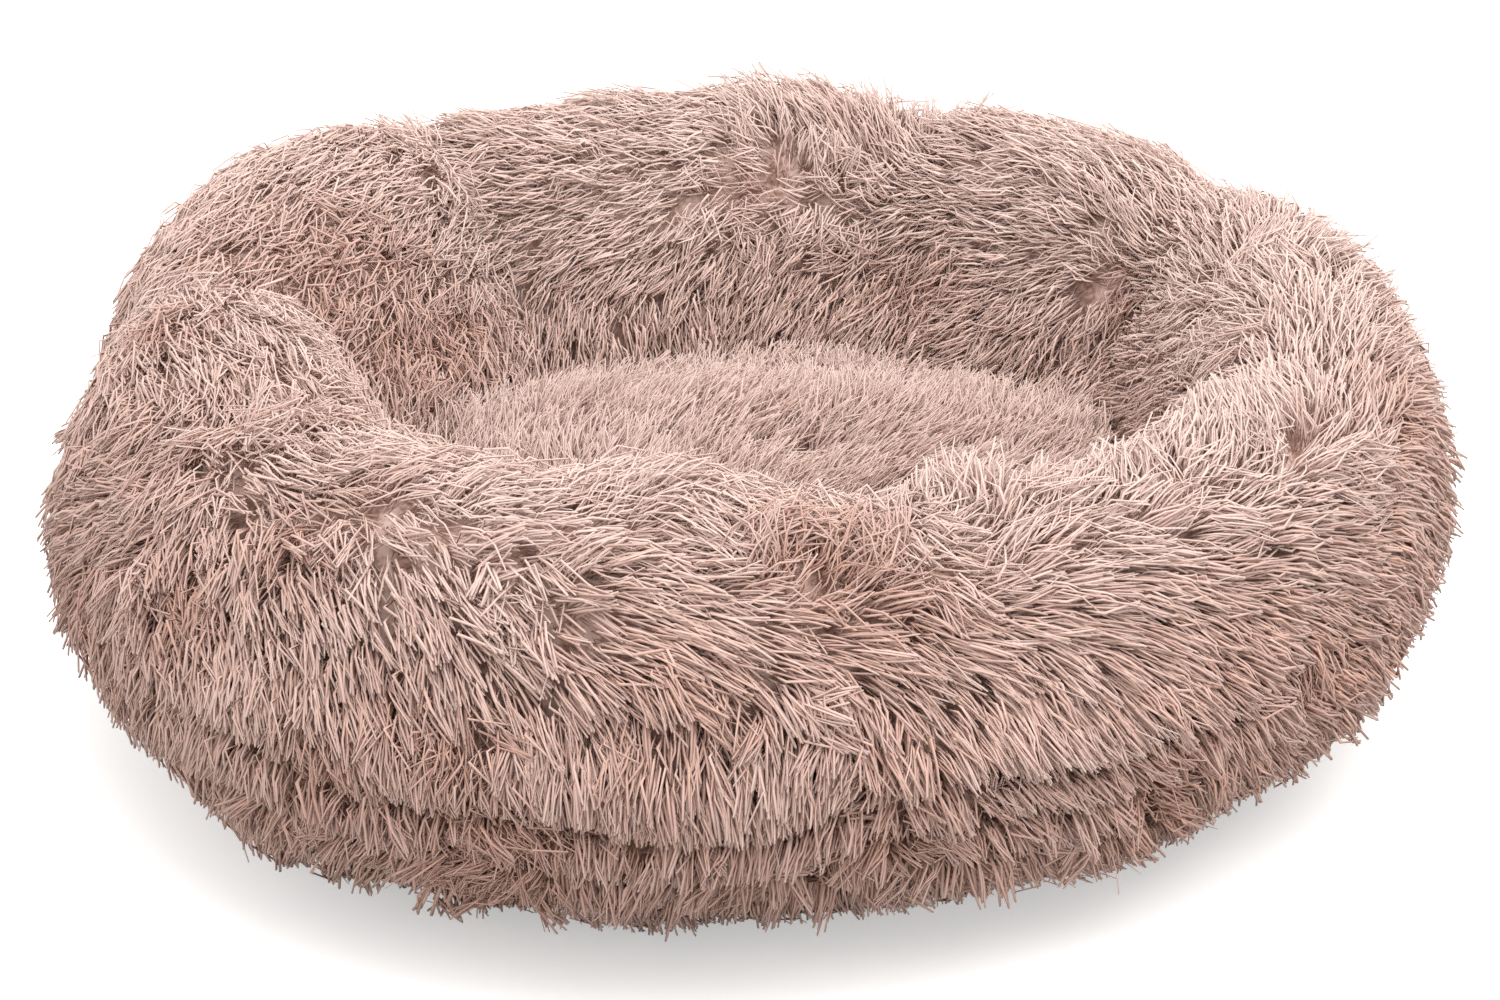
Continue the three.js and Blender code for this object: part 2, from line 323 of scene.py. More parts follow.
def blow_up(pad, held, pressure, cap):
    """A short cloth run with air inside. held is 1 where the cloth is sewn, cap the longest move."""
    before = read(pad.data.vertices)
    group = pad.vertex_groups.new(name="held")
    for index in np.nonzero(held > 0.02)[0]:
        group.add([int(index)], float(held[index]), "REPLACE")
    cloth = pad.modifiers.new("cloth", "CLOTH")
    cloth.settings.quality = 4
    cloth.settings.use_pressure = True
    cloth.settings.uniform_pressure_force = pressure
    cloth.settings.vertex_group_mass = "held"
    cloth.settings.effector_weights.gravity = 0
    cloth.point_cache.frame_start = 1
    cloth.point_cache.frame_end = cloth_steps
    for step in range(1, cloth_steps + 1):
        scene.frame_set(step)
    move = read(settled(pad).vertices) - before
    far = np.linalg.norm(move, axis=1)
    move *= np.minimum(1, cap / np.maximum(far, 1e-9))[:, None]
    pad.modifiers.clear()
    pad.vertex_groups.clear()
    scene.frame_set(1)
    write(pad.data, before + move)
    print(pad.name, "swelled by up to", round(float(np.minimum(far, cap).max()) * 1000, 1), "mm")


# %% The ring's pad
seam_azimuths = np.radians([-148, -88, -18, 28, 68, 128, 178])
ring_pad = pad_from("bolster_pad", "bolster_fill", 8 * mm)
azimuth, girth = to_angles(read(ring_pad.data.vertices))
away = np.abs(np.angle(np.exp(1j * (azimuth[:, None] - seam_azimuths)))).min(1)
seam_pin = dome(away * bed_radius, 9 * mm)
under = np.clip((np.sin(-girth) - 0.75) / 0.2, 0, 1)
blow_up(ring_pad, np.maximum(seam_pin, under), 3.0, 5 * mm)
print("ring pad:", len(ring_pad.data.polygons), "faces")

# %% The cushion's pad
cushion_pad = pad_from("cushion_pad", "cushion_fill", 7 * mm)
points = read(cushion_pad.data.vertices)
rim = np.hypot(points[:, 0] - nest_shift, points[:, 1])
held = np.clip((rim - 135 * mm) / (10 * mm), 0, 1)
held = np.maximum(held, points[:, 2] < 40 * mm)
blow_up(cushion_pad, held.astype(float), 2.0, 4 * mm)
print("cushion pad:", len(cushion_pad.data.polygons), "faces")

# %% [markdown]
# Long pile takes the direction in which it was last stroked, pressed or shaken. That flow is what the
# eye reads first on a fur bed, so it is combed: each row below is one stroke of the brush with
# its azimuth and girth, the heading of the tips (0 along the azimuth, 90 up the girth, so -90 hangs
# down on the outside wall) and the lift of the hair above the cloth, all in degrees. Between the
# strokes the hair takes a mean, in which the nearest stroke counts most.

# %% Brush strokes on the ring
ring_strokes = [
    (-166, 122, 72, 32), (-165, 51, -40, 30), (-164, 74, -2, 21), (-161, 84, 4, 28), (-161, 96, 2, 30),
    (-160, 32, -146, 30), (-159, 43, -114, 30), (-158, 123, 114, 30), (-158, 140, -130, 36),
    (-157, 19, -138, 30), (-155, 31, -144, 28), (-154, 13, -70, 28), (-154, 58, -88, 28),
    (-153, 44, -142, 28), (-153, 70, -48, 34), (-150, 18, -74, 28), (-149, 80, -4, 30), (-147, 3, -94, 28),
    (-147, 8, -74, 28), (-147, 36, -154, 26), (-146, 57, -54, 34), (-144, 18, -22, 28), (-141, 86, -8, 13),
    (-139, 28, -6, 31), (-138, -3, -104, 28), (-136, 59, -12, 26), (-135, 37, -78, 34), (-132, 22, -72, 28),
    (-132, 67, 36, 26), (-131, 48, -84, 32), (-131, -7, -104, 28), (-130, 32, -40, 34), (-127, 21, -82, 28),
    (-127, 54, -32, 39), (-127, 75, 66, 26), (-127, -22, -118, 30), (-126, 39, -30, 30), (-125, 8, -82, 28),
    (-124, 81, 50, 26), (-123, 28, -72, 28), (-122, 21, -80, 28), (-122, 42, -40, 30), (-120, 4, -80, 28),
    (-120, 57, -32, 32), (-119, 76, 22, 26), (-119, -19, -132, 30), (-119, -3, -68, 28), (-118, 16, -84, 28),
    (-118, 44, -38, 30), (-117, 50, -42, 44), (-116, 32, -72, 28), (-115, 11, -92, 28), (-115, 46, -46, 30),
    (-115, -28, -126, 30), (-114, 27, -68, 28), (-114, -8, -78, 32), (-113, 67, 26, 24),
    (-113, -15, -144, 34), (-112, 31, -64, 28), (-112, 43, -44, 28), (-111, 1, -70, 30), (-111, 58, 24, 24),
    (-110, 12, -108, 30), (-109, 36, -46, 28), (-109, 70, 42, 24), (-109, -26, -126, 30), (-108, 43, -48, 28),
    (-108, 58, 18, 24), (-108, -5, -60, 32), (-107, 84, 62, 30), (-106, 7, -78, 28), (-106, 21, -68, 28),
    (-105, 31, -36, 28), (-105, 62, 4, 22), (-105, 101, 46, 34), (-105, -12, -82, 30), (-104, 42, -42, 28),
    (-104, 50, -6, 22), (-103, 38, -24, 26), (-102, 8, -84, 28), (-102, 23, -74, 28), (-101, 60, 6, 22),
    (-100, -10, -104, 30), (-99, 7, -104, 28), (-99, 20, -84, 28), (-99, 35, -32, 26), (-99, 51, -12, 22),
    (-99, -22, -98, 30), (-98, 27, -70, 28), (-98, 66, 16, 22), (-97, 41, -30, 24), (-96, 9, -98, 28),
    (-95, 31, -72, 26), (-95, 51, -18, 26), (-94, 27, -84, 38), (-94, 86, -46, 24), (-93, 9, -74, 28),
    (-93, 47, -30, 26), (-93, -24, -120, 30), (-93, -8, -122, 30), (-90, 24, -84, 30), (-90, 47, 0, 24),
    (-90, 66, 84, 60), (-89, 7, -74, 28), (-89, 54, 6, 26), (-89, 102, -18, 16), (-89, -12, -122, 30),
    (-88, 27, -102, 30), (-88, 39, -10, 24), (-88, 80, 32, 58), (-87, 13, -84, 30), (-87, 25, -110, 30),
    (-86, 0, -106, 30), (-86, 44, -8, 24), (-85, 51, -12, 24), (-84, 24, -110, 30), (-84, 65, 92, 60),
    (-84, 102, -38, 6), (-83, 12, -102, 30), (-82, 40, -20, 24), (-82, -20, -92, 30), (-82, -4, -106, 30),
    (-81, 23, -106, 30), (-81, 51, -32, 24), (-80, 9, -116, 30), (-79, 94, -86, 16), (-79, -3, -114, 30),
    (-78, 27, -72, 30), (-78, 37, -16, 24), (-78, 65, 106, 58), (-77, 8, -94, 30), (-76, 23, -58, 28),
    (-76, -18, -98, 30), (-76, -5, -92, 30), (-74, 7, -68, 28), (-74, 41, -8, 24), (-74, 53, -12, 24),
    (-74, 65, -90, 36), (-73, 33, -36, 24), (-72, 21, -96, 28), (-71, 8, -66, 28), (-71, 74, 16, 34),
    (-71, -22, -82, 30), (-71, -7, -66, 30), (-70, 34, -84, 26), (-69, 20, -80, 28), (-69, 57, -4, 24),
    (-69, 93, 80, 52), (-67, 3, -66, 28), (-66, 32, -82, 26), (-66, -24, -66, 30), (-66, -11, -66, 30),
    (-65, 18, -68, 28), (-65, 71, 8, 30), (-65, -13, -68, 30), (-63, 3, -64, 28), (-63, 39, -42, 24),
    (-62, 30, -64, 26), (-62, -10, -62, 30), (-62, -1, -56, 28), (-61, 15, -66, 28), (-61, 48, -32, 22),
    (-61, 67, -16, 26), (-60, 34, -42, 24), (-60, 91, 18, 48), (-59, -17, -68, 30), (-58, 24, -44, 26),
    (-58, -36, -62, 30), (-58, -2, -56, 28), (-57, 59, -18, 24), (-57, 72, 0, 44), (-56, 11, -58, 28),
    (-55, 30, -28, 24), (-55, 44, -24, 22), (-55, 93, 50, 58), (-54, -1, -60, 28), (-53, 80, 70, 56),
    (-53, -22, -56, 30), (-52, 17, -52, 26), (-51, 56, -12, 24), (-51, -45, -42, 30), (-50, 8, -62, 28),
    (-50, 38, -18, 22), (-49, 27, -38, 24), (-49, -7, -72, 28), (-47, 44, 2, 24), (-47, -27, -58, 30),
    (-46, 11, -50, 26), (-45, 0, -56, 28), (-44, 57, -12, 28), (-43, 18, -40, 24), (-43, 31, -34, 22),
    (-43, 88, 18, 58), (-42, -17, -56, 28), (-40, 7, -92, 44), (-40, 38, -18, 24), (-38, 80, 44, 58),
    (-37, 51, -24, 26), (-37, -7, -48, 28), (-36, 10, -40, 24), (-36, 23, -40, 24), (-33, 72, 76, 56),
    (-33, -28, -32, 28), (-32, 34, -24, 26), (-28, 14, -38, 26), (-28, -8, -40, 28), (-27, 47, -36, 28),
    (-25, 65, 40, 52), (-22, 21, -46, 28), (-21, -9, -30, 28), (-20, 39, -32, 30), (-18, 60, 22, 50),
    (-16, -2, -36, 28), (-14, 8, -48, 30), (-14, 121, 112, 30), (-13, 38, -46, 34), (-13, 77, -2, 48),
    (-12, 49, -30, 40), (-11, 27, -74, 34), (-11, 90, 14, 50), (-10, 117, 130, 30), (-7, 52, -50, 34),
    (-4, 60, -34, 38), (-3, 31, -48, 34), (-1, 71, -42, 38), (0, 93, 14, 44), (1, 137, 60, 28),
    (4, 126, 70, 28), (8, 86, -50, 44), (13, 97, -8, 40), (24, 134, 34, 28), (31, 83, 0, 40),
    (33, 156, 74, 36), (37, 103, -8, 40), (37, 134, 20, 26), (38, 82, 54, 44), (39, 158, 100, 36),
    (44, 128, 14, 26), (47, 93, 4, 44), (48, 143, 32, 28), (53, 167, 50, 36), (55, 126, 2, 28),
    (59, 86, 10, 44), (59, 122, 0, 34), (61, 139, 72, 30), (61, 152, 96, 42), (64, 171, 80, 36),
    (66, 81, 178, 48), (70, 84, -80, 54), (70, 132, 40, 28), (73, 99, -46, 56), (73, 151, 34, 30),
    (74, 167, 64, 34), (78, 138, 46, 28), (79, 101, -18, 52), (82, 110, -76, 52), (83, 123, -140, 36),
    (87, 168, 72, 32), (88, 116, -52, 52), (88, 141, 98, 34), (93, 124, 16, 34), (95, 106, 6, 38),
    (96, 133, 14, 28), (97, 169, 90, 32), (99, 153, 44, 28), (105, 141, 28, 26), (106, 108, -24, 34),
    (112, 127, 16, 26), (112, 166, 82, 30), (114, 100, -24, 34), (114, 149, 44, 28), (119, 113, -4, 28),
    (119, 137, 16, 26), (121, 160, 74, 30), (122, 84, -38, 30), (138, 153, 82, 40), (143, 124, 16, 25),
    (146, 95, 18, 20), (147, 137, 16, 35), (148, 83, -6, 18), (153, 119, 14, 30), (154, 155, 64, 38),
    (155, 80, 0, 13), (156, 131, 4, 35), (158, 108, 10, 29), (159, 72, -24, 18), (160, 149, 42, 36),
    (165, 98, -26, 26), (166, 84, -34, 26), (168, 53, -62, 28), (168, 63, -38, 28), (168, 170, -140, 40),
    (170, 132, 38, 38), (173, 48, -96, 28), (173, 112, -4, 36),
]

# %% Brush strokes on the cushion
# Here the first two numbers are the place in millimetres, seen from above, and 0 heads to the right.
cushion_strokes = [
    (-108, 6, 74, 60), (-77, -15, 80, 58), (-61, 3, 64, 58), (-45, 45, 48, 56), (-37, -11, 42, 56),
    (-18, 11, 46, 56), (-9, 55, 30, 56), (-1, 115, 64, 62), (8, 34, 44, 56), (17, 17, 46, 54),
    (26, 97, 108, 64), (32, 35, 92, 60), (38, -2, -18, 54), (49, 99, 82, 62), (55, 13, 24, 54),
    (67, -20, 10, 52), (72, 104, 52, 62), (78, 36, 60, 58), (93, -7, 40, 56), (105, 41, 80, 60),
    (130, 25, 60, 60),
]


# %% [markdown]
# The photograph shows the front, the crest and the nest. On the wall behind and on the inside of the
# near crest the hair is a guess: it hangs down outside and leans into the nest inside, with a slow
# sideways swing, as it does where it can be seen.

# %% Strokes where the photograph can't see
for turn in range(0, 360, 24):
    sway = 24 * math.sin(math.radians(turn * 3))
    if 0 < turn < 185:
        for level in (30, 0, -30):
            ring_strokes.append((turn, level, -90 + sway + level / 3, 28))
    if 200 < turn < 340:
        ring_strokes.append((turn, 150, 60 + sway, 30))
        ring_strokes.append((turn, 180, 80 + sway, 26))
    ring_strokes.append((turn, -62, -90 + sway / 2, 46))
print(len(ring_strokes), "strokes on the ring,", len(cushion_strokes), "on the cushion")

# %% [markdown]
# Two things come out of the comb besides the direction: how high the hair stands, and where it parts.
# Where strokes meet head on, or where combed hair runs away from a spot on all sides, no hair would lie
# over the cloth. There it stands up and turns tuft by tuft instead, as a real parting does.

# %% Keep values on a mesh
def give(mesh, name, values, domain="POINT"):
    """Keeps values on the mesh under a name: rows of three, whole numbers or other numbers."""
    values = np.ascontiguousarray(values)
    kind = "FLOAT_VECTOR" if values.ndim == 2 else "INT" if values.dtype == np.int32 else "FLOAT"
    layer = mesh.attributes.new(name, kind, domain)
    layer.data.foreach_set("vector" if values.ndim == 2 else "value", values.ravel())


# %% Count what lies near
def counted(points, samples, cell):
    """How many samples lie around each point. Each is shared out over the eight nearest places of a grid."""
    lowest = points.min(0) - 5 * cell
    grid = np.zeros(np.ceil((points.max(0) - lowest) / cell).astype(int) + 5)
    found = np.zeros(len(points))
    for writing, spots in ((True, samples), (False, points)):
        place = (spots - lowest) / cell
        floor = place.astype(int)
        for corner in np.ndindex(2, 2, 2):
            share = np.abs(1 - np.array(corner) - (place - floor)).prod(1)
            at = tuple((floor + corner).T)
            if writing:
                np.add.at(grid, at, share)
            else:
                found += share * grid[at]
    return found


# %% Where combed hair leaves the cloth bare
pile_length = 32 * mm
bend_radius = 85 * mm
well_covered, bare = 0.66, 0.48


def bare_places(points, normals, flow, lift):
    """0 where combed hair covers the skin well, and 1 where it all runs away from the spot."""
    hairs = []
    for share in (0.3, 0.45, 0.6, 0.75, 0.9):
        run = pile_length * share * np.cos(np.radians(lift))[:, None]
        hairs.append(points + flow * run - normals * run ** 2 / (2 * bend_radius))
    cell = 10 * mm
    cover = counted(points, np.concatenate(hairs), cell) / len(hairs) / counted(points, points, cell)
    print("hair over the skin, least to most:", np.percentile(cover, (1, 5, 20, 50, 80)).round(2))
    return fade(cover, well_covered, bare)


# %% Spread the strokes over a pad
stroke_blur = 14 * mm
parting_lift = 44


def comb(mesh, places, origins, strokes, along):
    """Spreads the strokes over the mesh. Returns the hair's lift in degrees, and 1 where it parts.

    places and origins are the points and the strokes on the plain form, and along heads where a
    heading of 0 does.
    """
    table = np.array(strokes, float)
    heading = np.radians(table[:, 2])
    gap = ((places[:, None, :] - origins[None]) ** 2).sum(2)
    weight = 1 / (gap + stroke_blur ** 2) ** 2
    weight /= weight.sum(1)[:, None]
    points, normals = read(mesh.vertices), read(mesh.vertices, "normal")
    first = along - normals * (along * normals).sum(1)[:, None]
    first /= np.maximum(np.linalg.norm(first, axis=1), 1e-9)[:, None]
    second = np.cross(normals, first)
    flow = first * (weight @ np.cos(heading))[:, None] + second * (weight @ np.sin(heading))[:, None]
    strength = np.linalg.norm(flow, axis=1)
    flow /= np.maximum(strength, 1e-6)[:, None]
    lift = weight @ table[:, 3]
    parting = np.maximum(np.clip(1.1 - strength / 0.5, 0, 1), bare_places(points, normals, flow, lift))
    lift = lift + (parting_lift - lift) * parting
    give(mesh, "comb", flow)
    give(mesh, "parting", parting)
    print("share of the skin with a parting:", round(float((parting > 0.3).mean()), 3))
    return lift, parting.astype(np.float32)


# %% [markdown]
# No two handfuls of stuffing are alike. This table adds the few swellings and dents that make the
# ring's outline lopsided in the photograph: azimuth and girth in degrees, how wide the form is and how
# far it comes out, in millimetres.

# %% The table of swellings and dents
lumps = [
    (154, 78, 55, 6), (138, 88, 50, 3), (124, 86, 28, 8), (104, 86, 26, 5), (88, 84, 24, 6), (76, 82, 40, 5),
    (60, 84, 26, 2), (21, 79, 40, 5), (178, 35, 44, -13), (-163, 35, 40, -4), (-150, -30, 34, 6),
    (-138, -20, 30, 1), (-128, -38, 34, 9), (-112, -40, 34, 5), (-90, -42, 30, -3), (-72, -42, 30, 3),
    (-58, -42, 34, 9), (-46, -36, 34, 4), (-32, -34, 40, 8), (-18, -20, 40, 7), (-99, 106, 30, 9),
    (-88, 108, 34, 13), (-74, 106, 20, 3), (-64, 106, 24, 9),
]


# %% Swell the skin
def spread(table, places):
    """The last number of each row of the table, and how strongly each place feels that row."""
    for turn, level, wide, amount in table:
        spot = on_ring(np.radians([turn]), np.radians([level]))
        yield amount, dome(np.linalg.norm(places - spot, axis=1), wide * mm)


def swell(mesh, places):
    """Moves the skin along its normals by the table's swellings."""
    moved = np.zeros(len(places))
    for out, near in spread(lumps, places):
        moved += out * mm * near
    push_out(mesh, moved)
    print("swellings from", round(moved.min() / mm, 1), "to", round(moved.max() / mm, 1), "mm")


# %% [markdown]
# Low on the front the ring's weight lays the cover in shallow folds. Seen from outside, the hair ends
# there in tiers, one above the other. Each fold stands out more and more from top to bottom and drops
# back at its lower edge. The hair that grows above such an edge ends a little below it, all in one
# line, and the hair under it lies in its shade, which its locks also get as painted shade.

# %% Folds low on the front
# The girths at which the folds end, in degrees, and how far each fold stands out there. The last one
# runs on under the ring as far as foot_end, and doesn't stand out.
fold_edges = (0, -14, -29, -48)
fold_depths = (9 * mm, 9 * mm, 8 * mm, 5 * mm, 0)
first_rise = 20
foot_end = -80
overhang = 7 * mm
along_degree = 1.85 * mm
fold_middle = -92
fold_half = 46


def fold(mesh, azimuth, turned):
    """Lays the folds into the skin. turned is the girth in degrees.

    Returns the length at which the hair of each fold ends, how deep it lies under the fold above, which
    its locks get as painted shade, and how far to the front it is. A fold's phase counts the folds above
    a point, and the share of its own fold that lies above it.
    """
    sway = 0.22 * np.sin(5 * azimuth + 0.6) + 0.14 * np.sin(13 * azimuth)
    marks = (foot_end, *reversed(fold_edges), fold_edges[0] + first_rise, 90)
    last = len(fold_edges) + 0.9
    steps = (last, *range(len(fold_edges), -1, -1), 0)
    phase = np.interp(turned, marks, steps)
    phase = np.clip(phase + sway * np.clip(phase, 0, 1), 0, last)
    number = phase.astype(int)
    front = np.exp(-((np.degrees(azimuth) - fold_middle) / fold_half) ** 4)
    push_out(mesh, np.array(fold_depths)[number] * (phase % 1.0) * front)
    heights = -np.diff((fold_edges[0] + first_rise, *fold_edges, foot_end)) * along_degree
    length = overhang + (1 - phase % 1.0) * heights[number]
    length = np.where(phase > 0, length, pile_length)
    length = pile_length + (np.minimum(length, pile_length) - pile_length) * front
    # How deep the hair lies under the fold above: its locks get painted shade from this.
    under = np.clip((phase - 0.98) / 0.1, 0, 1) * (1 - phase % 1.0) * front
    print("hair in the folds is", round(length.min() / mm, 1), "mm long and more")
    return length, under, front


# %% [markdown]
# With its swellings and folds laid in, the ring's pad is copied to be the skin that the hair grows on,
# and the skin is combed. In a few places the pile was rubbed the wrong way and lies in a tangle: the
# next table gives each one's azimuth and girth, its width in millimetres and how bad it is.

# %% The table of tangles
tangles = [
    (-84, 67, 30, 1.0), (-88, 80, 20, 0.8), (-79, 61, 22, 0.8), (-128, 54, 20, 1.0), (-137, 28, 22, 1.0),
    (153, 127, 38, 0.9), (146, 150, 25, 0.9), (-147, 81, 30, 0.4), (-139, 93, 22, 0.3), (62, 152, 26, 0.9),
    (29, 132, 14, 1.0), (-110, 14, 18, 1.0), (-40, 8, 20, 0.8), (-120, 7, 22, 0.5), (-97, 26, 26, 0.5),
    (-108, -14, 30, 0.7), (-117, 20, 20, 0.4), (-79, 15, 16, 0.7), (-145, 61, 22, 0.4), (-160, 49, 14, 0.6),
    (-170, 79, 16, 1.0), (88, 129, 14, 0.5), (-56, -14, 26, 0.7), (-93, 27, 20, 0.7), (-155, 75, 50, 0.3),
    (-15, 48, 20, 0.6), (165, 120, 46, 1.0), (158, 150, 46, 1.0), (172, 100, 36, 0.8),
]


# %% Swell, fold and comb the ring
def refine(pad):
    """Makes the pad's squares half as large."""
    finer = pad.modifiers.new("finer", "SUBSURF")
    finer.levels = finer.render_levels = 1
    finish_mesh(pad)


refine(ring_pad)
azimuth, girth = to_angles(read(ring_pad.data.vertices))
swell(ring_pad.data, on_ring(azimuth, girth))
fold_length, fold_shade, in_front = fold(ring_pad.data, azimuth, girth_degrees(girth))
skin = ring_pad.data.copy()
skin.name = "ring_skin"
azimuth, girth = to_angles(read(skin.vertices))
turned = girth_degrees(girth)
places = on_ring(azimuth, girth)
table = np.radians(np.array(ring_strokes, float)[:, :2])
around = np.stack([-np.sin(azimuth), np.cos(azimuth), np.zeros_like(azimuth)], 1)
lift, parting = comb(skin, places, on_ring(table[:, 0], table[:, 1]), ring_strokes, around)

# %% Tangle the ring
# The hair of the foot, at a girth of about -45, is a little tangled all round.
loose = np.zeros(len(places))
for amount, near in spread(tangles, places):
    loose = np.maximum(loose, amount * near)
foot_girth, foot_half = -45, 40
loose = np.maximum(loose, 0.12 * np.clip(1 - np.abs(turned - foot_girth) / foot_half, 0, 1))
give(skin, "loose", loose)
print("share of the ring in tangles:", round(float((loose > 0.4).mean()), 2))

# %% [markdown]
# How long a lock may be follows from how high the coat stands: a lock that lies flat may have its whole
# length, and one that stands up is cut off at the coat's height. Hair that was stroked flat, over the
# crest and down into the nest, lies lower, and its cloth comes out to meet it. Hair that ends in a fold
# stands up more and grows closer, and at the foot it is short, so that it stays clear of the floor.

# %% How high the hair stands
coat_height = 21.5 * mm
back_coat_height = 22.5 * mm
back_middle, back_half = 80, 40
crest_girth, crest_half = 88, 35
cloth_rise = 3.5 * mm
flattest = 8
fewest_locks = 0.52
foot_from, foot_width = -84, 25
inside = fade(turned, 85, 110) * fade(turned, 178, 133)
stroked = fade(turned, 40, 70) * fade(turned, 130, 110)
cut_short = fold_length < 0.8 * pile_length
lift = lift * (1.0 - 0.25 * loose) * (1 - 0.3 * np.maximum(inside, stroked)) + 10 * cut_short
give(skin, "lift", np.radians(lift))
push_out(skin, cloth_rise * stroked)
write(ring_pad.data, read(skin.vertices))

# %% How long the locks may be
behind = dome(np.degrees(azimuth) - back_middle, back_half) * dome(turned - crest_girth, crest_half)
highest = coat_height + (back_coat_height - coat_height) * behind
highest *= 1 + 0.25 * parting
reach = np.minimum(1, highest / (pile_length * np.sin(np.radians(np.maximum(lift, flattest)))))
above_foot = np.clip((turned - foot_from) / (foot_width + 20 * in_front), 0, 1)
reach = reach * (0.8 - 0.25 * in_front + (0.2 + 0.25 * in_front) * above_foot)
reach = reach * (1 - 0.2 * np.clip((turned - 90) / 30, 0, 1))
give(skin, "reach", np.minimum(reach, fold_length / pile_length))

# %% How many locks there are, and the painted light on them
# Hair on the sides that the photograph doesn't show is a little thinner sown, from thicker strands.
shown = read(skin.vertices, "normal") @ (0, -math.cos(camera_rise), math.sin(camera_rise))
crowd = np.clip(1 + (shown + 0.1) * 1.2, fewest_locks, 1) * (0.84 + 0.4 * parting) + 0.25 * cut_short
give(skin, "crowd", crowd)

# Painted light: the cloth and the locks that face up or line the nest are painted paler, and so are
# the roots of those locks, a little less in a tangle, while the locks in a fold's shade are painted
# darker. The outer wall's locks are tufted.
facing_up = read(skin.vertices, "normal")[:, 2]
light = np.clip(np.maximum((facing_up - 0.1) / 0.6, inside), 0, 1) * (1 - 0.4 * loose)
give(ring_pad.data, "light_reaching", light)
# Painted light for the locks and their roots, less the painted shade under the folds.
worn = np.clip(np.maximum((facing_up - 0.1) / 0.7, 1.3 * inside), 0, 1.3) * (1 - 0.5 * loose)
give(skin, "worn", worn - 0.3 * fold_shade)
give(skin, "tufted", np.clip((72 - turned) / 36, 0, 1))
print("locks reach", reach.min().round(2), "to", reach.max().round(2), "of the pile's length")

# %% [markdown]
# The coat is sewn from seven panels. Each panel's fur becomes three pieces, a low one, an outer one and
# an inner one, so that no piece has too many faces. A face of the skin belongs to the panel between
# whose seams it lies. The foot of the ring and the wall behind the cushion are plain lining and grow no
# hair.

# %% Divide the ring
panels = ["front_left", "front_right", "right", "back_right", "back", "back_left", "left"]
bands = ("low", "outer", "inner")
band_edges = (22, 82)
lining_below, lining_beyond = -81, 194
face_azimuth, face_girth = to_angles(read(skin.polygons, "center"))
turned = girth_degrees(face_girth)
panel = (np.searchsorted(seam_azimuths, face_azimuth, side="right") - 1) % len(panels)
patch = panel * len(bands) + np.searchsorted(band_edges, turned)
patch[(turned < lining_below) | (turned > lining_beyond)] = -1
give(skin, "patch", patch.astype(np.int32), "FACE")
print("faces of the skin with hair:", int((patch >= 0).sum()), "of", len(patch))

# %% [markdown]
# The cushion's top is combed in the same way, from above. One shallow tuft right of its middle pulls
# the fur in, where the photograph has a dimple, and its far edge sinks towards the wall.

# %% Sizes of the cushion
tuft_place = (28.5 * mm, -12 * mm)
tuft_depth = 7 * mm
far_edge_depth = 8 * mm
cushion_coat = 24 * mm
top_side = 60 * mm
patch_border = 104 * mm

# %% Sink and comb the cushion
refine(cushion_pad)
points = read(cushion_pad.data.vertices)
far_edge = np.clip((points[:, 1] - 30 * mm) / (80 * mm), 0, 1)
far_edge = far_edge * far_edge * (3 - 2 * far_edge)
tuft = dome(np.hypot(points[:, 0] - tuft_place[0], points[:, 1] - tuft_place[1]), 14 * mm)
points[:, 2] -= (far_edge_depth * far_edge + tuft_depth * tuft) * (points[:, 2] > top_side)
write(cushion_pad.data, points)
cushion_skin = cushion_pad.data.copy()
cushion_skin.name = "cushion_skin"
plan = read(cushion_skin.vertices)
plan[:, 2] = 0
origins = np.array([(x * mm, y * mm, 0) for x, y, *_ in cushion_strokes])
sideways = np.tile((1.0, 0.0, 0.0), (len(plan), 1))
lift, parting = comb(cushion_skin, plan, origins, cushion_strokes, sideways)
reach = np.minimum(1, cushion_coat / (pile_length * np.sin(np.radians(lift))))
give(cushion_skin, "lift", np.radians(lift))
give(cushion_skin, "reach", reach * (1 - 0.25 * far_edge) * (1 - 0.5 * tuft))
# The whole top of the cushion gets full painted light, so its locks and their roots are painted paler.
for name, value in (("loose", 0.35), ("worn", 1.3), ("tufted", 0.0), ("crowd", 1.0)):
    give(cushion_skin, name, np.full(len(plan), value))
give(cushion_pad.data, "light_reaching", np.ones(len(plan)) - 0.7 * tuft)
far = np.hypot(*(read(cushion_skin.polygons, "center")[:, :2] - (nest_shift, 0)).T)
on_top = read(cushion_skin.polygons, "normal")[:, 2] > 0.25
patch = np.where(on_top, (far > patch_border).astype(int), -1)
give(cushion_skin, "patch", patch.astype(np.int32), "FACE")

# %% [markdown]
# Pile doesn't stand as single hairs. Its fine fibres cling together in strands, cut off blunt at the
# tip, and a few strands side by side make a lock. Real strands are finer than the picture could show,
# so these are 0.6 to 1 mm thick. A box of 27 locks is enough, because each is turned, tilted and
# stretched in its own way when it is planted: fine ones of uneven strands for the crest and the nest,
# ruffled ones whose strands bend apart, and tufted ones for the outer wall, whose strands close up to
# a blunt brush. A strand is a closed three-sided form of twelve or eighteen faces. Some locks also have
# one thin pale hair that stands out.

# %% Strands
rng = np.random.default_rng(7)
strand_sides = 3
# Where along a strand its rings lie, and how thick it is there.
bent_rings = ((0.36, 1.12), (0.7, 1.08), (0.98, 0.95))
plain_rings = ((0.55, 1.1), (0.98, 0.95))
lock_radius = 3.0 * mm


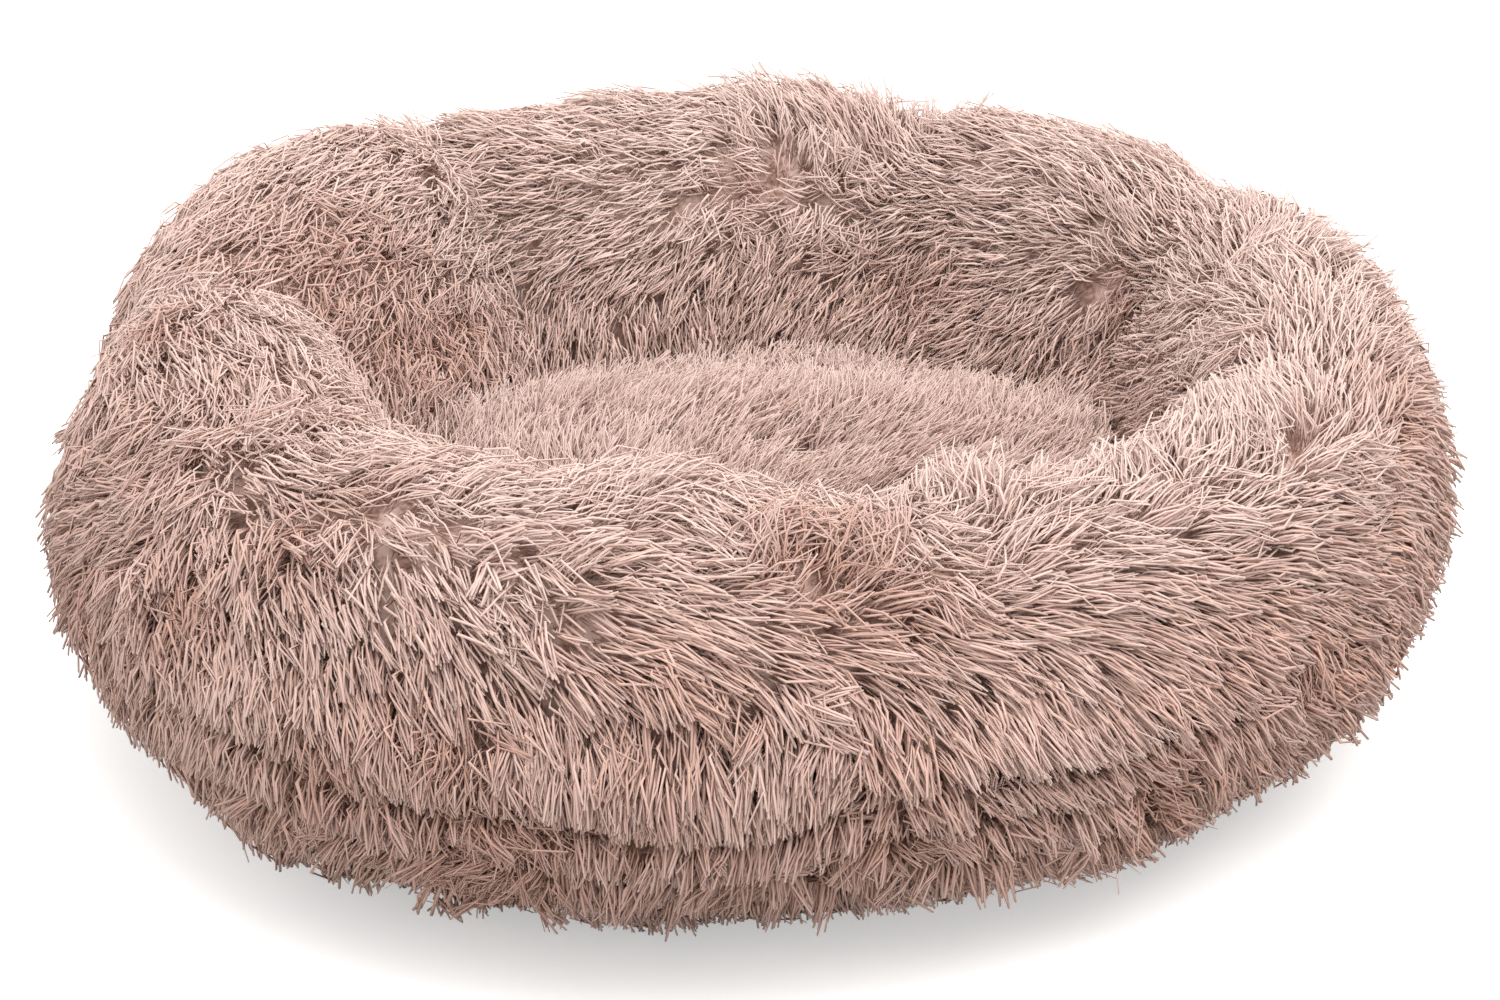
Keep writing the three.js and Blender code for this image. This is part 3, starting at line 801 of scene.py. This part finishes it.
def strand(build, rings, length, thickness, tone, close, stray, bow):
    """Adds one strand along +X to the lists in build. stray moves its tip aside, and bow its middle."""
    places, faces, along, tones, sides = build
    angle = rng.uniform(0, 2 * math.pi)
    from_middle = lock_radius * math.sqrt(rng.uniform(0.05, 1))
    root = from_middle * np.array([math.cos(angle), math.sin(angle)])
    stray = rng.normal(0, stray, 2)
    bow = rng.normal(0, bow, 2)
    turn = rng.uniform(0, 2 * math.pi)
    first = len(places)
    for step, swell_here in ((0.0, 0.0), *rings, (1.0, 0.0)):
        arch = math.sin(math.pi * step)
        side, up = root * (1 - close * step) + stray * step ** 2 + bow * arch
        up += pile_length * (0.11 * arch - 0.04 * step ** 2)
        for corner in range(strand_sides if swell_here else 1):
            a = turn + corner * 2 * math.pi / strand_sides
            out = thickness * swell_here
            places.append((length * step, side + out * math.cos(a), up + out * math.sin(a)))
            along.append(step)
            tones.append(tone)
            sides.append(corner % 2 * 2 - 1 if corner < 2 else 0)
    tip = len(places) - 1
    for corner in range(strand_sides):
        after = (corner + 1) % strand_sides
        low = first + 1
        faces.append((first, low + after, low + corner))
        for _ in rings[1:]:
            high = low + strand_sides
            faces.append((low + corner, low + after, high + after))
            faces.append((low + corner, high + after, high + corner))
            low = high
        faces.append((low + corner, low + after, tip))


# %% Locks
# For each kind: the strands' lengths in shares of the pile's, half their thickness in millimetres, how
# far they close up at the tip, how far their tips stray and how far they bow, in millimetres, and which
# of its locks have a thin pale hair: every so many, from this one on. Blender picks the objects of a
# collection in the order of their names.
strands_in_lock = 8
locks_per_kind = 9
lock_kinds = {
    "a_fine": ((0.5, 1.0), (0.29, 0.43), 0.2, 1.6, 2.2, (3, 0)),
    "b_ruffled": ((0.45, 0.95), (0.3, 0.44), 0.0, 3.6, 3.2, (3, 0)),
    "c_tufted": ((0.8, 1.0), (0.34, 0.5), 0.4, 1.0, 1.7, (2, 1)),
}
lock_box = bpy.data.collections.new("locks")


def lock_template(name, lengths, widths, close, stray, bow, thin_hair):
    """One lock of eight strands that lies along +X, with the cloth below it."""
    build = [], [], [], [], []
    for number in range(strands_in_lock):
        rings = bent_rings if number < 3 else plain_rings
        strand(build, rings, pile_length * rng.uniform(*lengths), rng.uniform(*widths) * mm,
               rng.uniform(-0.24, 0.2), close, stray, bow)
    if thin_hair:
        strand(build, bent_rings, pile_length * rng.uniform(0.8, 1.0), 0.26 * mm, 0.6, 0.0, 3 * mm, bow)
    places, faces, along, tones, sides = build
    mesh = bpy.data.meshes.new(name)
    mesh.from_pydata(places, [], faces, shade_flat=False)
    for label, values in (("along", along), ("strand_tone", tones), ("strand_side", sides)):
        give(mesh, label, np.array(values, float))
    lock_box.objects.link(bpy.data.objects.new(name, mesh))


# %% Make the box of locks
for number in range(locks_per_kind):
    for name, (lengths, widths, close, stray, bow, (every, start)) in lock_kinds.items():
        lock_template(f"{name}_{number}", lengths, widths, close, stray * mm, bow * mm,
                      number % every == start)

# %% [markdown]
# Geometry Nodes plant the locks. Points are scattered over one patch of the skin and each gets a lock,
# turned so that it lies along the comb and lifted off the cloth. The first cell names what the tree
# reads: its inputs, the values that the skin keeps, slow noises over the skin, and random draws, one of
# each for every lock. The second is the arithmetic, one Math node to a row.

# %% What the planting tree reads
def new_tree(name, inputs):
    """A tree with these named inputs and the kinds of their sockets. Returns it, and its inputs."""
    made = bpy.data.node_groups.new(name, "GeometryNodeTree")
    made.interface.new_socket("Geometry", in_out="OUTPUT", socket_type="NodeSocketGeometry")
    for label, kind in {"Geometry": "Geometry", **inputs}.items():
        made.interface.new_socket(label, in_out="INPUT", socket_type="NodeSocket" + kind)
    return made, add(made, "NodeGroupInput").node.outputs


tree, given = new_tree("plant_fur", {
    "Patch": "Int", "Lock Area": "Float", "Wander": "Float", "Ruffle": "Float", "Thickness": "Float",
    "Seed": "Int", "Locks": "Collection", "Fur": "Material"})
known = {socket.name: socket for socket in given}
place = add(tree, "GeometryNodeInputPosition")
for name in ("lift", "reach", "parting", "loose", "worn", "tufted", "crowd", "along", "strand_tone",
             "lock_tone", "root_worn"):
    known[name] = add(tree, "GeometryNodeInputNamedAttribute", {"Name": name}, data_type="FLOAT")
# The noises: how many cells in a metre, and how many finer layers. A tuft is 14 mm across.
for name, scale, detail in (("bend", 22.0, 2.0), ("tilt", 34.0, 1.0), ("patchy", 16.0, 3.0),
                            ("tuft", 1 / (14 * mm), 0.0)):
    known[name] = add(tree, "ShaderNodeTexNoise", {"Vector": place, "Scale": scale, "Detail": detail})
# The draws: what is added to the seed, and the lowest and the highest value.
for name, salt, low, high in (
        ("any_turn", 3, -1.0, 1.0), ("any_tilt", 5, -0.11, 0.11), ("any_length", 7, 0.0, 0.26),
        ("any_tuft_length", 8, 0.0, 0.16), ("any_width", 9, 0.8, 1.2), ("any_tone", 11, -0.1, 0.1),
        ("mess_draw", 13, 0.0, 1.0), ("brush_draw", 15, 0.0, 1.0)):
    seed = add(tree, "ShaderNodeMath", given["Seed"], float(salt), operation="ADD")
    known[name] = add(tree, "FunctionNodeRandomValue", {"Min": low, "Max": high, "Seed": seed},
                      data_type="FLOAT")

# %% The planting tree's arithmetic
# Each row has the name of its result, its operation and its values. MULTIPLY_ADD gives the first value
# times the second, plus the third.
for result, operation, *values in (
        # How near two locks may be, and how many are tried on a square metre before near ones go.
        ("gap", "SQRT", "Lock Area"), ("gap", "MULTIPLY", "gap", 0.62),
        ("density", "DIVIDE", 1.0, "Lock Area"), ("density", "MULTIPLY", "density", 1.75),
        # A slow bend of the flow, and a ruffle that is its own for each lock.
        ("bend", "MULTIPLY_ADD", "bend", 4.0, -2.0), ("bend", "MULTIPLY", "bend", "Wander"),
        ("ruffle", "MULTIPLY_ADD", "loose", 0.2, "Ruffle"), ("ruffle", "MULTIPLY", "any_turn", "ruffle"),
        ("twist", "ADD", "bend", "ruffle"),
        # In a tangle or a parting, the pile turns tuft by tuft.
        ("tangled", "MULTIPLY", "loose", 0.6), ("tangled", "MAXIMUM", "parting", "tangled"),
        ("tuft", "MULTIPLY_ADD", "tuft", 8.0, -4.0), ("twist", "MULTIPLY_ADD", "tangled", "tuft", "twist"),
        # The lift swings a little, and more in a tangle.
        ("tilt", "MULTIPLY_ADD", "tilt", 4.0, -2.0), ("swing", "MULTIPLY_ADD", "loose", 0.1, 0.06),
        ("tilt", "MULTIPLY", "tilt", "swing"), ("tilt", "ADD", "lift", "tilt"),
        ("tilt", "ADD", "tilt", "any_tilt"), ("tilt", "MULTIPLY", "tilt", -1.0),
        # Locks are of uneven length, and tufted ones more so.
        ("long", "MULTIPLY_ADD", "tufted", -0.16, 0.86),
        ("long", "MULTIPLY_ADD", "tufted", "any_tuft_length", "long"),
        ("long", "ADD", "long", "any_length"), ("long", "MULTIPLY", "reach", "long"),
        # They are wider where fewer are sown, and in a parting.
        ("wide", "MULTIPLY", "any_width", "Thickness"), ("sparse", "MULTIPLY_ADD", "crowd", -0.8, 1.8),
        ("wide", "MULTIPLY", "wide", "sparse"), ("open", "MULTIPLY_ADD", "parting", 0.3, 1.0),
        ("wide", "MULTIPLY", "wide", "open"),
        # The pile's own tone is patchy and differs from lock to lock. On it light is painted: locks that face
        # up or line the nest are painted paler, those under a fold, in a tangle or on the outer wall darker.
        ("shade", "MULTIPLY_ADD", "patchy", 0.6, -0.3), ("shade", "ADD", "shade", "any_tone"),
        ("shade", "MULTIPLY_ADD", "worn", 0.22, "shade"), ("shade", "MULTIPLY_ADD", "loose", -0.45, "shade"),
        ("shade", "MULTIPLY_ADD", "tufted", -0.16, "shade"),
        ("tone", "MULTIPLY_ADD", "strand_tone", 0.5, 0.5), ("tone", "ADD", "tone", "lock_tone"),
        # The way along the strand, which its colours follow, starts higher where light is painted, so that
        # the roots there are painted paler.
        ("hidden", "SUBTRACT", 1.0, "along"), ("kept", "MULTIPLY_ADD", "root_worn", -0.5, 1.0),
        ("hidden", "MULTIPLY", "hidden", "kept"), ("way", "SUBTRACT", 1.0, "hidden")):
    known[result] = add(tree, "ShaderNodeMath", *[known.get(value, value) for value in values],
                        operation=operation)

# %% Scatter, turn and pick the locks
patch = add(tree, "GeometryNodeInputNamedAttribute", {"Name": "patch"}, data_type="INT")
mine = add(tree, "FunctionNodeCompare", {"A": patch, "B": given["Patch"]}, data_type="INT", operation="EQUAL")
region = add(tree, "GeometryNodeSeparateGeometry", given["Geometry"], mine, domain="FACE")
spots = add(tree, "GeometryNodeDistributePointsOnFaces", {
    "Mesh": region, "Distance Min": known["gap"], "Density Max": known["density"],
    "Density Factor": known["crowd"], "Seed": given["Seed"]}, distribute_method="POISSON")
flow = add(tree, "GeometryNodeInputNamedAttribute", {"Name": "comb"}, data_type="FLOAT_VECTOR")
facing = add(tree, "FunctionNodeAxesToRotation",
             {"Primary Axis": spots.node.outputs["Normal"], "Secondary Axis": flow},
             primary_axis="Z", secondary_axis="X")
lean = add(tree, "ShaderNodeCombineXYZ", 0.0, known["tilt"], known["twist"])
lean = add(tree, "FunctionNodeEulerToRotation", lean)
turned = add(tree, "FunctionNodeRotateRotation", facing, lean, rotation_space="LOCAL")
size = add(tree, "ShaderNodeCombineXYZ", known["long"], known["wide"], known["wide"])
box = add(tree, "GeometryNodeCollectionInfo", {"Collection": given["Locks"], "Separate Children": True,
                                               "Reset Children": True})
which = add(tree, "FunctionNodeRandomValue", {"Min": 0, "Max": locks_per_kind - 1, "Seed": given["Seed"]},
            data_type="INT")
kind = 0
for draw, against, first_of_kind in (("brush_draw", "tufted", 2 * locks_per_kind),
                                     ("mess_draw", "loose", locks_per_kind)):
    chosen = add(tree, "FunctionNodeCompare", {"A": known[draw], "B": known[against]}, operation="LESS_THAN")
    kind = add(tree, "GeometryNodeSwitch", {"Switch": chosen, "False": kind, "True": first_of_kind},
               input_type="INT")
which = add(tree, "FunctionNodeIntegerMath", which, kind, operation="ADD")
hair = add(tree, "GeometryNodeInstanceOnPoints", {
    "Points": spots, "Instance": box, "Pick Instance": True, "Instance Index": which, "Rotation": turned,
    "Scale": size})

# %% [markdown]
# The last nodes hand each lock's tone down to its strands, make the copies real, lift whatever would
# poke through the floor, and hand over the fur material.

# %% Make the locks real
lowest_tip = 1.5 * mm
floor_softness = 3 * mm
tone = add(tree, "ShaderNodeClamp", known["tone"])
for domain, kept in (("INSTANCE", {"lock_tone": known["shade"], "root_worn": known["worn"]}),
                     ("POINT", {"along": known["way"], "tone": tone})):
    if domain == "POINT":
        hair = add(tree, "GeometryNodeRealizeInstances", hair)
    for name, value in kept.items():
        hair = add(tree, "GeometryNodeStoreNamedAttribute",
                   {"Geometry": hair, "Name": name, "Value": value}, data_type="FLOAT", domain=domain)
x, y, z = add(tree, "ShaderNodeSeparateXYZ", place).node.outputs
z = add(tree, "ShaderNodeMath", z, lowest_tip, floor_softness, operation="SMOOTH_MAX")
raised = add(tree, "ShaderNodeCombineXYZ", x, y, z)
hair = add(tree, "GeometryNodeSetPosition", {"Geometry": hair, "Position": raised})
hair = add(tree, "GeometryNodeSetMaterial", {"Geometry": hair, "Material": given["Fur"]})
add(tree, "NodeGroupOutput", hair)
print("planting tree:", len(tree.nodes), "nodes")

# %% [markdown]
# The fur is polyester plush with a brushed pile about 32 mm long. Its fibres are matt with a faint
# sheen. Each lock and each strand has its own tone between a dark and a pale fibre, and the lock's tone
# also carries the painted light and shade laid on the skin. A strand is painted a little paler towards
# the cloth, as painted light that stands for the light that gets in between the locks and goes from
# hair to hair. The depth of the coat gives most of the shade.

# %% Plush fur
fur = bpy.data.materials.new("brushed_polyester_plush")
nodes = bare_tree(fur)
along, tone = [add(nodes, "ShaderNodeAttribute", attribute_name=name).node.outputs["Fac"]
               for name in ("along", "tone")]
# Both fibres are paler at the root than at the tip, as painted light.
dark_fibre = add(nodes, "ShaderNodeValToRGB", along, stops=(
    (0.0, "d9ad98"), (0.35, "d3a996"), (0.7, "c49c8d"), (1.0, "c4a092")))
pale_fibre = add(nodes, "ShaderNodeValToRGB", along, stops=(
    (0.0, "f0d6ca"), (0.35, "edd3c7"), (0.7, "e1c8be"), (1.0, "e0c9c0")))
fibre = add(nodes, "ShaderNodeMix", {"Factor": tone, "A": dark_fibre, "B": pale_fibre}, data_type="RGBA")
pile = add(nodes, "ShaderNodeBsdfPrincipled", {
    "Base Color": fibre, "Roughness": 0.8, "Sheen Weight": 0.08, "Sheen Roughness": 0.5,
    "Specular IOR Level": 0.15, "IOR": 1.5})
add(nodes, "ShaderNodeOutputMaterial", pile)


# %% Let a tree work on a piece
def grow(piece, tree, values):
    """Lets the tree work on the piece with these inputs, and keeps the result as a plain mesh."""
    growing = piece.modifiers.new("grow", "NODES")
    growing.node_group = tree
    for socket in tree.interface.items_tree:
        if socket.name in values:
            growing[socket.identifier] = values[socket.name]
    finish_mesh(piece)
    print(piece.name, len(piece.data.polygons), "faces")


# %% A map for baking the fur's colours
def lay_out(mesh):
    """A map for a bake of the colours: a strand's tone goes across it and the way along the strand up it."""
    values = {}
    for name in ("tone", "along", "strand_side"):
        values[name] = np.empty(len(mesh.vertices), np.float32)
        mesh.attributes[name].data.foreach_get("value", values[name])
    u = 0.01 + 0.98 * np.clip(values["tone"], 0.005, 0.995) + 0.004 * values["strand_side"]
    v = 0.01 + 0.98 * values["along"]
    corners = np.empty(len(mesh.loops), np.int32)
    mesh.loops.foreach_get("vertex_index", corners)
    layer = mesh.uv_layers.new(name="OFBake")
    layer.uv.foreach_set("vector", np.stack([u, v], 1)[corners].astype(np.float32).ravel())


# %% Plant one patch
def plant(name, skin_mesh, patch_number, seed, lock_area, thickness, node):
    """The fur of one patch of a skin, which stands for a CAD node. Only what the material reads stays."""
    piece = object_from(name, skin_mesh.copy())
    grow(piece, tree, {"Patch": patch_number, "Seed": seed, "Lock Area": lock_area, "Thickness": thickness,
                       "Wander": 0.35, "Ruffle": 0.15, "Locks": lock_box, "Fur": fur})
    mesh = piece.data
    lay_out(mesh)
    for extra in ("comb", "lift", "reach", "parting", "lock_tone", "strand_tone", "strand_side", "patch",
                  "loose", "worn", "root_worn", "tufted", "crowd"):
        if extra in mesh.attributes:
            mesh.attributes.remove(mesh.attributes[extra])
    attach(piece, "root")
    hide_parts(node)
    return len(mesh.polygons)


# %% Plant all the fur
ring_lock_area = 26.9e-6
cushion_lock_area = 30.5e-6
ring_thickness = 1.09
cushion_thickness = 1.04
first_ring_seed = 31
first_cushion_seed = 71
all_faces = 0
for number in range(len(panels) * len(bands)):
    panel, band = panels[number // len(bands)], bands[number % len(bands)]
    all_faces += plant(f"fur_{panel}_{band}", skin, number, first_ring_seed + number, ring_lock_area,
                       ring_thickness, f"bolster_panel_{panel}")
for number, part in enumerate(("middle", "rim")):
    all_faces += plant(f"fur_cushion_{part}", cushion_skin, number, first_cushion_seed + number,
                       cushion_lock_area, cushion_thickness, "cushion_top_cover")
print("all fur:", all_faces, "faces")

# %% [markdown]
# Under the pile lies the knitted cloth that holds it. It shows only between two locks, and what shows
# there is mostly the roots of the pile: a warm brown where little light gets in, and nearly the colour
# of the fur where the coat faces the light.

# %% Knitted backing
knit = bpy.data.materials.new("warp_knit_backing")
nodes = bare_tree(knit)
where = add(nodes, "ShaderNodeTexCoord").node.outputs["Object"]
# Real knit rows are about 1.2 mm apart, too fine to show. Here they are 16 mm apart, a slow light and
# dark under the roots of the pile, whose clumps are about 2.2 mm wide. A Wave texture's bands are 2 pi
# / 20 apart at a scale of 1.
knit_rows = 2 * math.pi * 2.5 * mm
rows = add(nodes, "ShaderNodeTexWave",
           {"Vector": where, "Scale": 2 * math.pi / knit_rows / 20, "Distortion": 1.5})
rows = rows.node.outputs["Fac"]
roots = add(nodes, "ShaderNodeTexNoise", {"Vector": where, "Scale": 1 / (2.2 * mm), "Detail": 2.0})
seen = add(nodes, "ShaderNodeMath", rows, 0.3, roots, operation="MULTIPLY_ADD")
deep = add(nodes, "ShaderNodeValToRGB", seen, stops=((0.45, "583c32"), (0.62, "8a6556"), (0.8, "b08876")))
lit = add(nodes, "ShaderNodeValToRGB", seen, stops=((0.45, "ac8777"), (0.62, "d0afa1"), (0.8, "e4c8bc")))
reaching = add(nodes, "ShaderNodeAttribute", attribute_name="light_reaching").node.outputs["Fac"]
colour = add(nodes, "ShaderNodeMix", {"Factor": reaching, "A": deep, "B": lit}, data_type="RGBA")
bump = add(nodes, "ShaderNodeBump", {"Strength": 0.3, "Distance": 0.4 * mm, "Height": rows})
cloth = add(nodes, "ShaderNodeBsdfPrincipled", {"Base Color": colour, "Roughness": 0.9, "Normal": bump})
add(nodes, "ShaderNodeOutputMaterial", cloth)

# %% Dress the pads and hide the parts they stand for
for pad, stands_for, fill in ((ring_pad, ("bolster_fill", "nest_divider"), 0.8),
                              (cushion_pad, ("cushion_fill", "cushion_underside"), 0.6)):
    pad.data.materials.clear()
    pad.data.materials.append(knit)
    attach(pad, "root")
    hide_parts(*stands_for)
    print(pad.name, "stands for", " and ".join(stands_for))

# %% [markdown]
# The base is a disc of coated woven polyester, sewn to the foot of the ring, with soft grip dots
# moulded on its underside so that the bed doesn't slide. The disc is plain mesh code, with small
# puckers where the seam gathers it. Geometry Nodes lay out the dots in a triangular pattern, and the
# stitches round the rim.

# %% Base cloth
low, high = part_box("base_panel")
base_radius = (high[0] - low[0]) / 2
base_top = high[2]
dot_height = 0.8 * mm
base_columns = 180
base_rows = 14
puckers = 60
pucker_depth = 0.5 * mm
rim_drop = 0.35 * mm


def base_sheet():
    """A closed round sheet between the dots and the ring, with a puckered rim."""
    turns = np.linspace(0, 2 * math.pi, base_columns, endpoint=False)
    places, faces = [], []
    for side, level in ((1, base_top), (-1, dot_height)):
        for row in range(1, base_rows + 1):
            share = row / base_rows
            pull = np.sin(puckers * turns) * share ** 12
            radius = (base_radius - 1.2 * mm) * share + pucker_depth * pull
            height = level - side * rim_drop * (share ** 12) * (1 + pull)
            places.extend(zip(radius * np.cos(turns), radius * np.sin(turns), height))
        places.append((0, 0, level))
    side_count = base_rows * base_columns + 1
    edge = (base_rows - 1) * base_columns
    for side in (0, 1):
        start = side * side_count
        for column in range(base_columns):
            after = (column + 1) % base_columns
            ring = [(start + column, start + after, start + side_count - 1)]
            for row in range(base_rows - 1):
                near, far = start + row * base_columns, start + (row + 1) * base_columns
                ring.append((near + column, far + column, far + after, near + after))
            faces.extend(ring if side == 0 else [face[::-1] for face in ring])
    for column in range(base_columns):
        after = (column + 1) % base_columns
        faces.append((edge + column, side_count + edge + column, side_count + edge + after, edge + after))
    mesh = bpy.data.meshes.new("base_cloth")
    mesh.from_pydata(places, [], faces, shade_flat=False)
    return object_from("base_cloth", mesh)


# %% Make the base cloth
base_cloth = base_sheet()
print("base cloth:", round(base_radius * 2000), "mm across,", len(base_cloth.data.polygons), "faces")


# %% Cloth, dots and thread
def plain_finish(name, light, dark, roughness, pattern_of, depth):
    """A material between two colours, which a pattern mixes. The same pattern is its bump."""
    material = bpy.data.materials.new(name)
    nodes = bare_tree(material)
    where = add(nodes, "ShaderNodeTexCoord").node.outputs["Object"]
    pattern = pattern_of(nodes, where)
    shade = add(nodes, "ShaderNodeValToRGB", pattern, stops=((0.0, dark), (1.0, light)))
    bump = add(nodes, "ShaderNodeBump", {"Strength": 0.5, "Distance": depth, "Height": pattern})
    skin = add(nodes, "ShaderNodeBsdfPrincipled",
               {"Base Color": shade, "Roughness": roughness, "IOR": 1.5, "Normal": bump})
    add(nodes, "ShaderNodeOutputMaterial", skin)
    return material


def weave(tree, where):
    """A plain weave. Real threads are 0.5 mm apart, and these coarse bands about 9 mm, so that they show."""
    bands = [add(tree, "ShaderNodeTexWave", {"Vector": where, "Scale": 1 / (1.5 * mm) / 20},
                 bands_direction=axis).node.outputs["Fac"] for axis in "XY"]
    return add(tree, "ShaderNodeMath", *bands, operation="MULTIPLY")


def grain(tree, where):
    """The orange-peel skin of soft moulded plastic: bumps about 1.6 mm wide, with finer ones down to 0.4."""
    return add(tree, "ShaderNodeTexNoise", {"Vector": where, "Scale": 1 / (0.4 * mm) / 4})


# A coated cloth is dull and a little uneven, soft plastic has a low gloss, and spun thread is matt.
coated_cloth = plain_finish("coated_woven_polyester", "55504d", "3b3735", 0.55, weave, 0.2 * mm)
soft_plastic = plain_finish("moulded_soft_pvc", "6a6562", "5b5653", 0.45, grain, 0.05 * mm)
sewing_thread = plain_finish("spun_polyester_thread", "8d8078", "776b64", 0.7, grain, 0.05 * mm)

# %% [markdown]
# Both trees take their sizes as inputs. The dots start from a square grid, whose every second row is
# pushed half a step sideways, and those too near the rim are deleted.

# %% A tree for the dots
dots_across = 11
dots_tree, given = new_tree("grip_dots", {
    "Base Radius": "Float", "Pitch": "Float", "Dot Radius": "Float", "Dot Height": "Float",
    "Margin": "Float", "Plastic": "Material"})
known = {socket.name: socket for socket in given}
known["Index"] = add(dots_tree, "GeometryNodeInputIndex")
for result, operation, *values in (
        ("span", "MULTIPLY", "Pitch", float(dots_across - 1)),
        ("depth", "MULTIPLY", "span", math.sin(math.pi / 3)),
        ("row", "MODULO", "Index", float(dots_across)),
        ("odd", "ADD", "row", float(dots_across // 2)), ("odd", "MODULO", "odd", 2.0),
        ("half step", "DIVIDE", "Pitch", 2.0), ("push", "MULTIPLY", "odd", "half step"),
        ("rim", "SUBTRACT", "Base Radius", "Margin"), ("flatness", "DIVIDE", "Dot Height", "Dot Radius")):
    known[result] = add(dots_tree, "ShaderNodeMath", *[known.get(value, value) for value in values],
                        operation=operation)
grid = add(dots_tree, "GeometryNodeMeshGrid", known["span"], known["depth"], dots_across, dots_across)
push = add(dots_tree, "ShaderNodeCombineXYZ", known["push"])
grid = add(dots_tree, "GeometryNodeSetPosition", {"Geometry": grid, "Offset": push})
place = add(dots_tree, "GeometryNodeInputPosition")
far = add(dots_tree, "ShaderNodeVectorMath", place, operation="LENGTH").node.outputs["Value"]
outside = add(dots_tree, "FunctionNodeCompare", {"A": far, "B": known["rim"]}, operation="GREATER_THAN")
inside = add(dots_tree, "GeometryNodeDeleteGeometry", {"Geometry": grid, "Selection": outside})
ball = add(dots_tree, "GeometryNodeMeshUVSphere", {"Segments": 14, "Rings": 8, "Radius": given["Dot Radius"]})
flat = add(dots_tree, "ShaderNodeCombineXYZ", 1.0, 1.0, known["flatness"])
lifted = add(dots_tree, "ShaderNodeCombineXYZ", {"Z": given["Dot Height"]})
dot = add(dots_tree, "GeometryNodeTransform", {"Geometry": ball, "Translation": lifted, "Scale": flat})
dots = add(dots_tree, "GeometryNodeInstanceOnPoints", {"Points": inside, "Instance": dot})


def close_tree(tree, made, material):
    """Ends a tree: its copies are made real and smooth and get their material."""
    made = add(tree, "GeometryNodeRealizeInstances", made)
    made = add(tree, "GeometryNodeSetShadeSmooth", made)
    made = add(tree, "GeometryNodeSetMaterial", {"Geometry": made, "Material": material})
    add(tree, "NodeGroupOutput", made)
    print(tree.name, "tree:", len(tree.nodes), "nodes")


close_tree(dots_tree, dots, given["Plastic"])

# %% A tree for the stitches
seam_tree, given = new_tree("rim_stitches", {
    "Seam Radius": "Float", "Seam Height": "Float", "Stitch Pitch": "Float", "Thread Radius": "Float",
    "Thread": "Material"})
path = add(seam_tree, "GeometryNodeCurvePrimitiveCircle", {"Resolution": 180, "Radius": given["Seam Radius"]})
level = add(seam_tree, "ShaderNodeCombineXYZ", {"Z": given["Seam Height"]})
path = add(seam_tree, "GeometryNodeTransform", {"Geometry": path, "Translation": level})
marks = add(seam_tree, "GeometryNodeCurveToPoints", {"Curve": path, "Length": given["Stitch Pitch"]},
            mode="LENGTH")
thread = add(seam_tree, "GeometryNodeMeshUVSphere",
             {"Segments": 6, "Rings": 5, "Radius": given["Thread Radius"]})
half = add(seam_tree, "ShaderNodeMath", given["Stitch Pitch"], 0.4, operation="MULTIPLY")
half = add(seam_tree, "ShaderNodeMath", half, given["Thread Radius"], operation="DIVIDE")
long = add(seam_tree, "ShaderNodeCombineXYZ", 1.0, 0.6, half)
stitches = add(seam_tree, "GeometryNodeInstanceOnPoints", {
    "Points": marks, "Instance": thread, "Rotation": marks.node.outputs["Rotation"], "Scale": long})
close_tree(seam_tree, stitches, given["Thread"])

# %% Grip dots, stitches and the sewn base
grip_dots = object_from("grip_dots", bpy.data.meshes.new("grip_dots"))
grow(grip_dots, dots_tree, {
    "Base Radius": base_radius, "Pitch": 50 * mm, "Dot Radius": 4 * mm, "Dot Height": dot_height,
    "Margin": 16 * mm, "Plastic": soft_plastic})
rim_stitches = object_from("rim_stitches", bpy.data.meshes.new("rim_stitches"))
grow(rim_stitches, seam_tree, {
    "Seam Radius": base_radius - 8 * mm, "Seam Height": dot_height, "Stitch Pitch": 4 * mm,
    "Thread Radius": 0.35 * mm, "Thread": sewing_thread})
base_cloth.data.materials.append(coated_cloth)
for piece in (base_cloth, grip_dots, rim_stitches):
    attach(piece, "root")
    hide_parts("base_panel")

# %% Tidy the templates away and finish
for template in list(lock_box.objects):
    bpy.data.objects.remove(template)
bpy.data.collections.remove(lock_box)
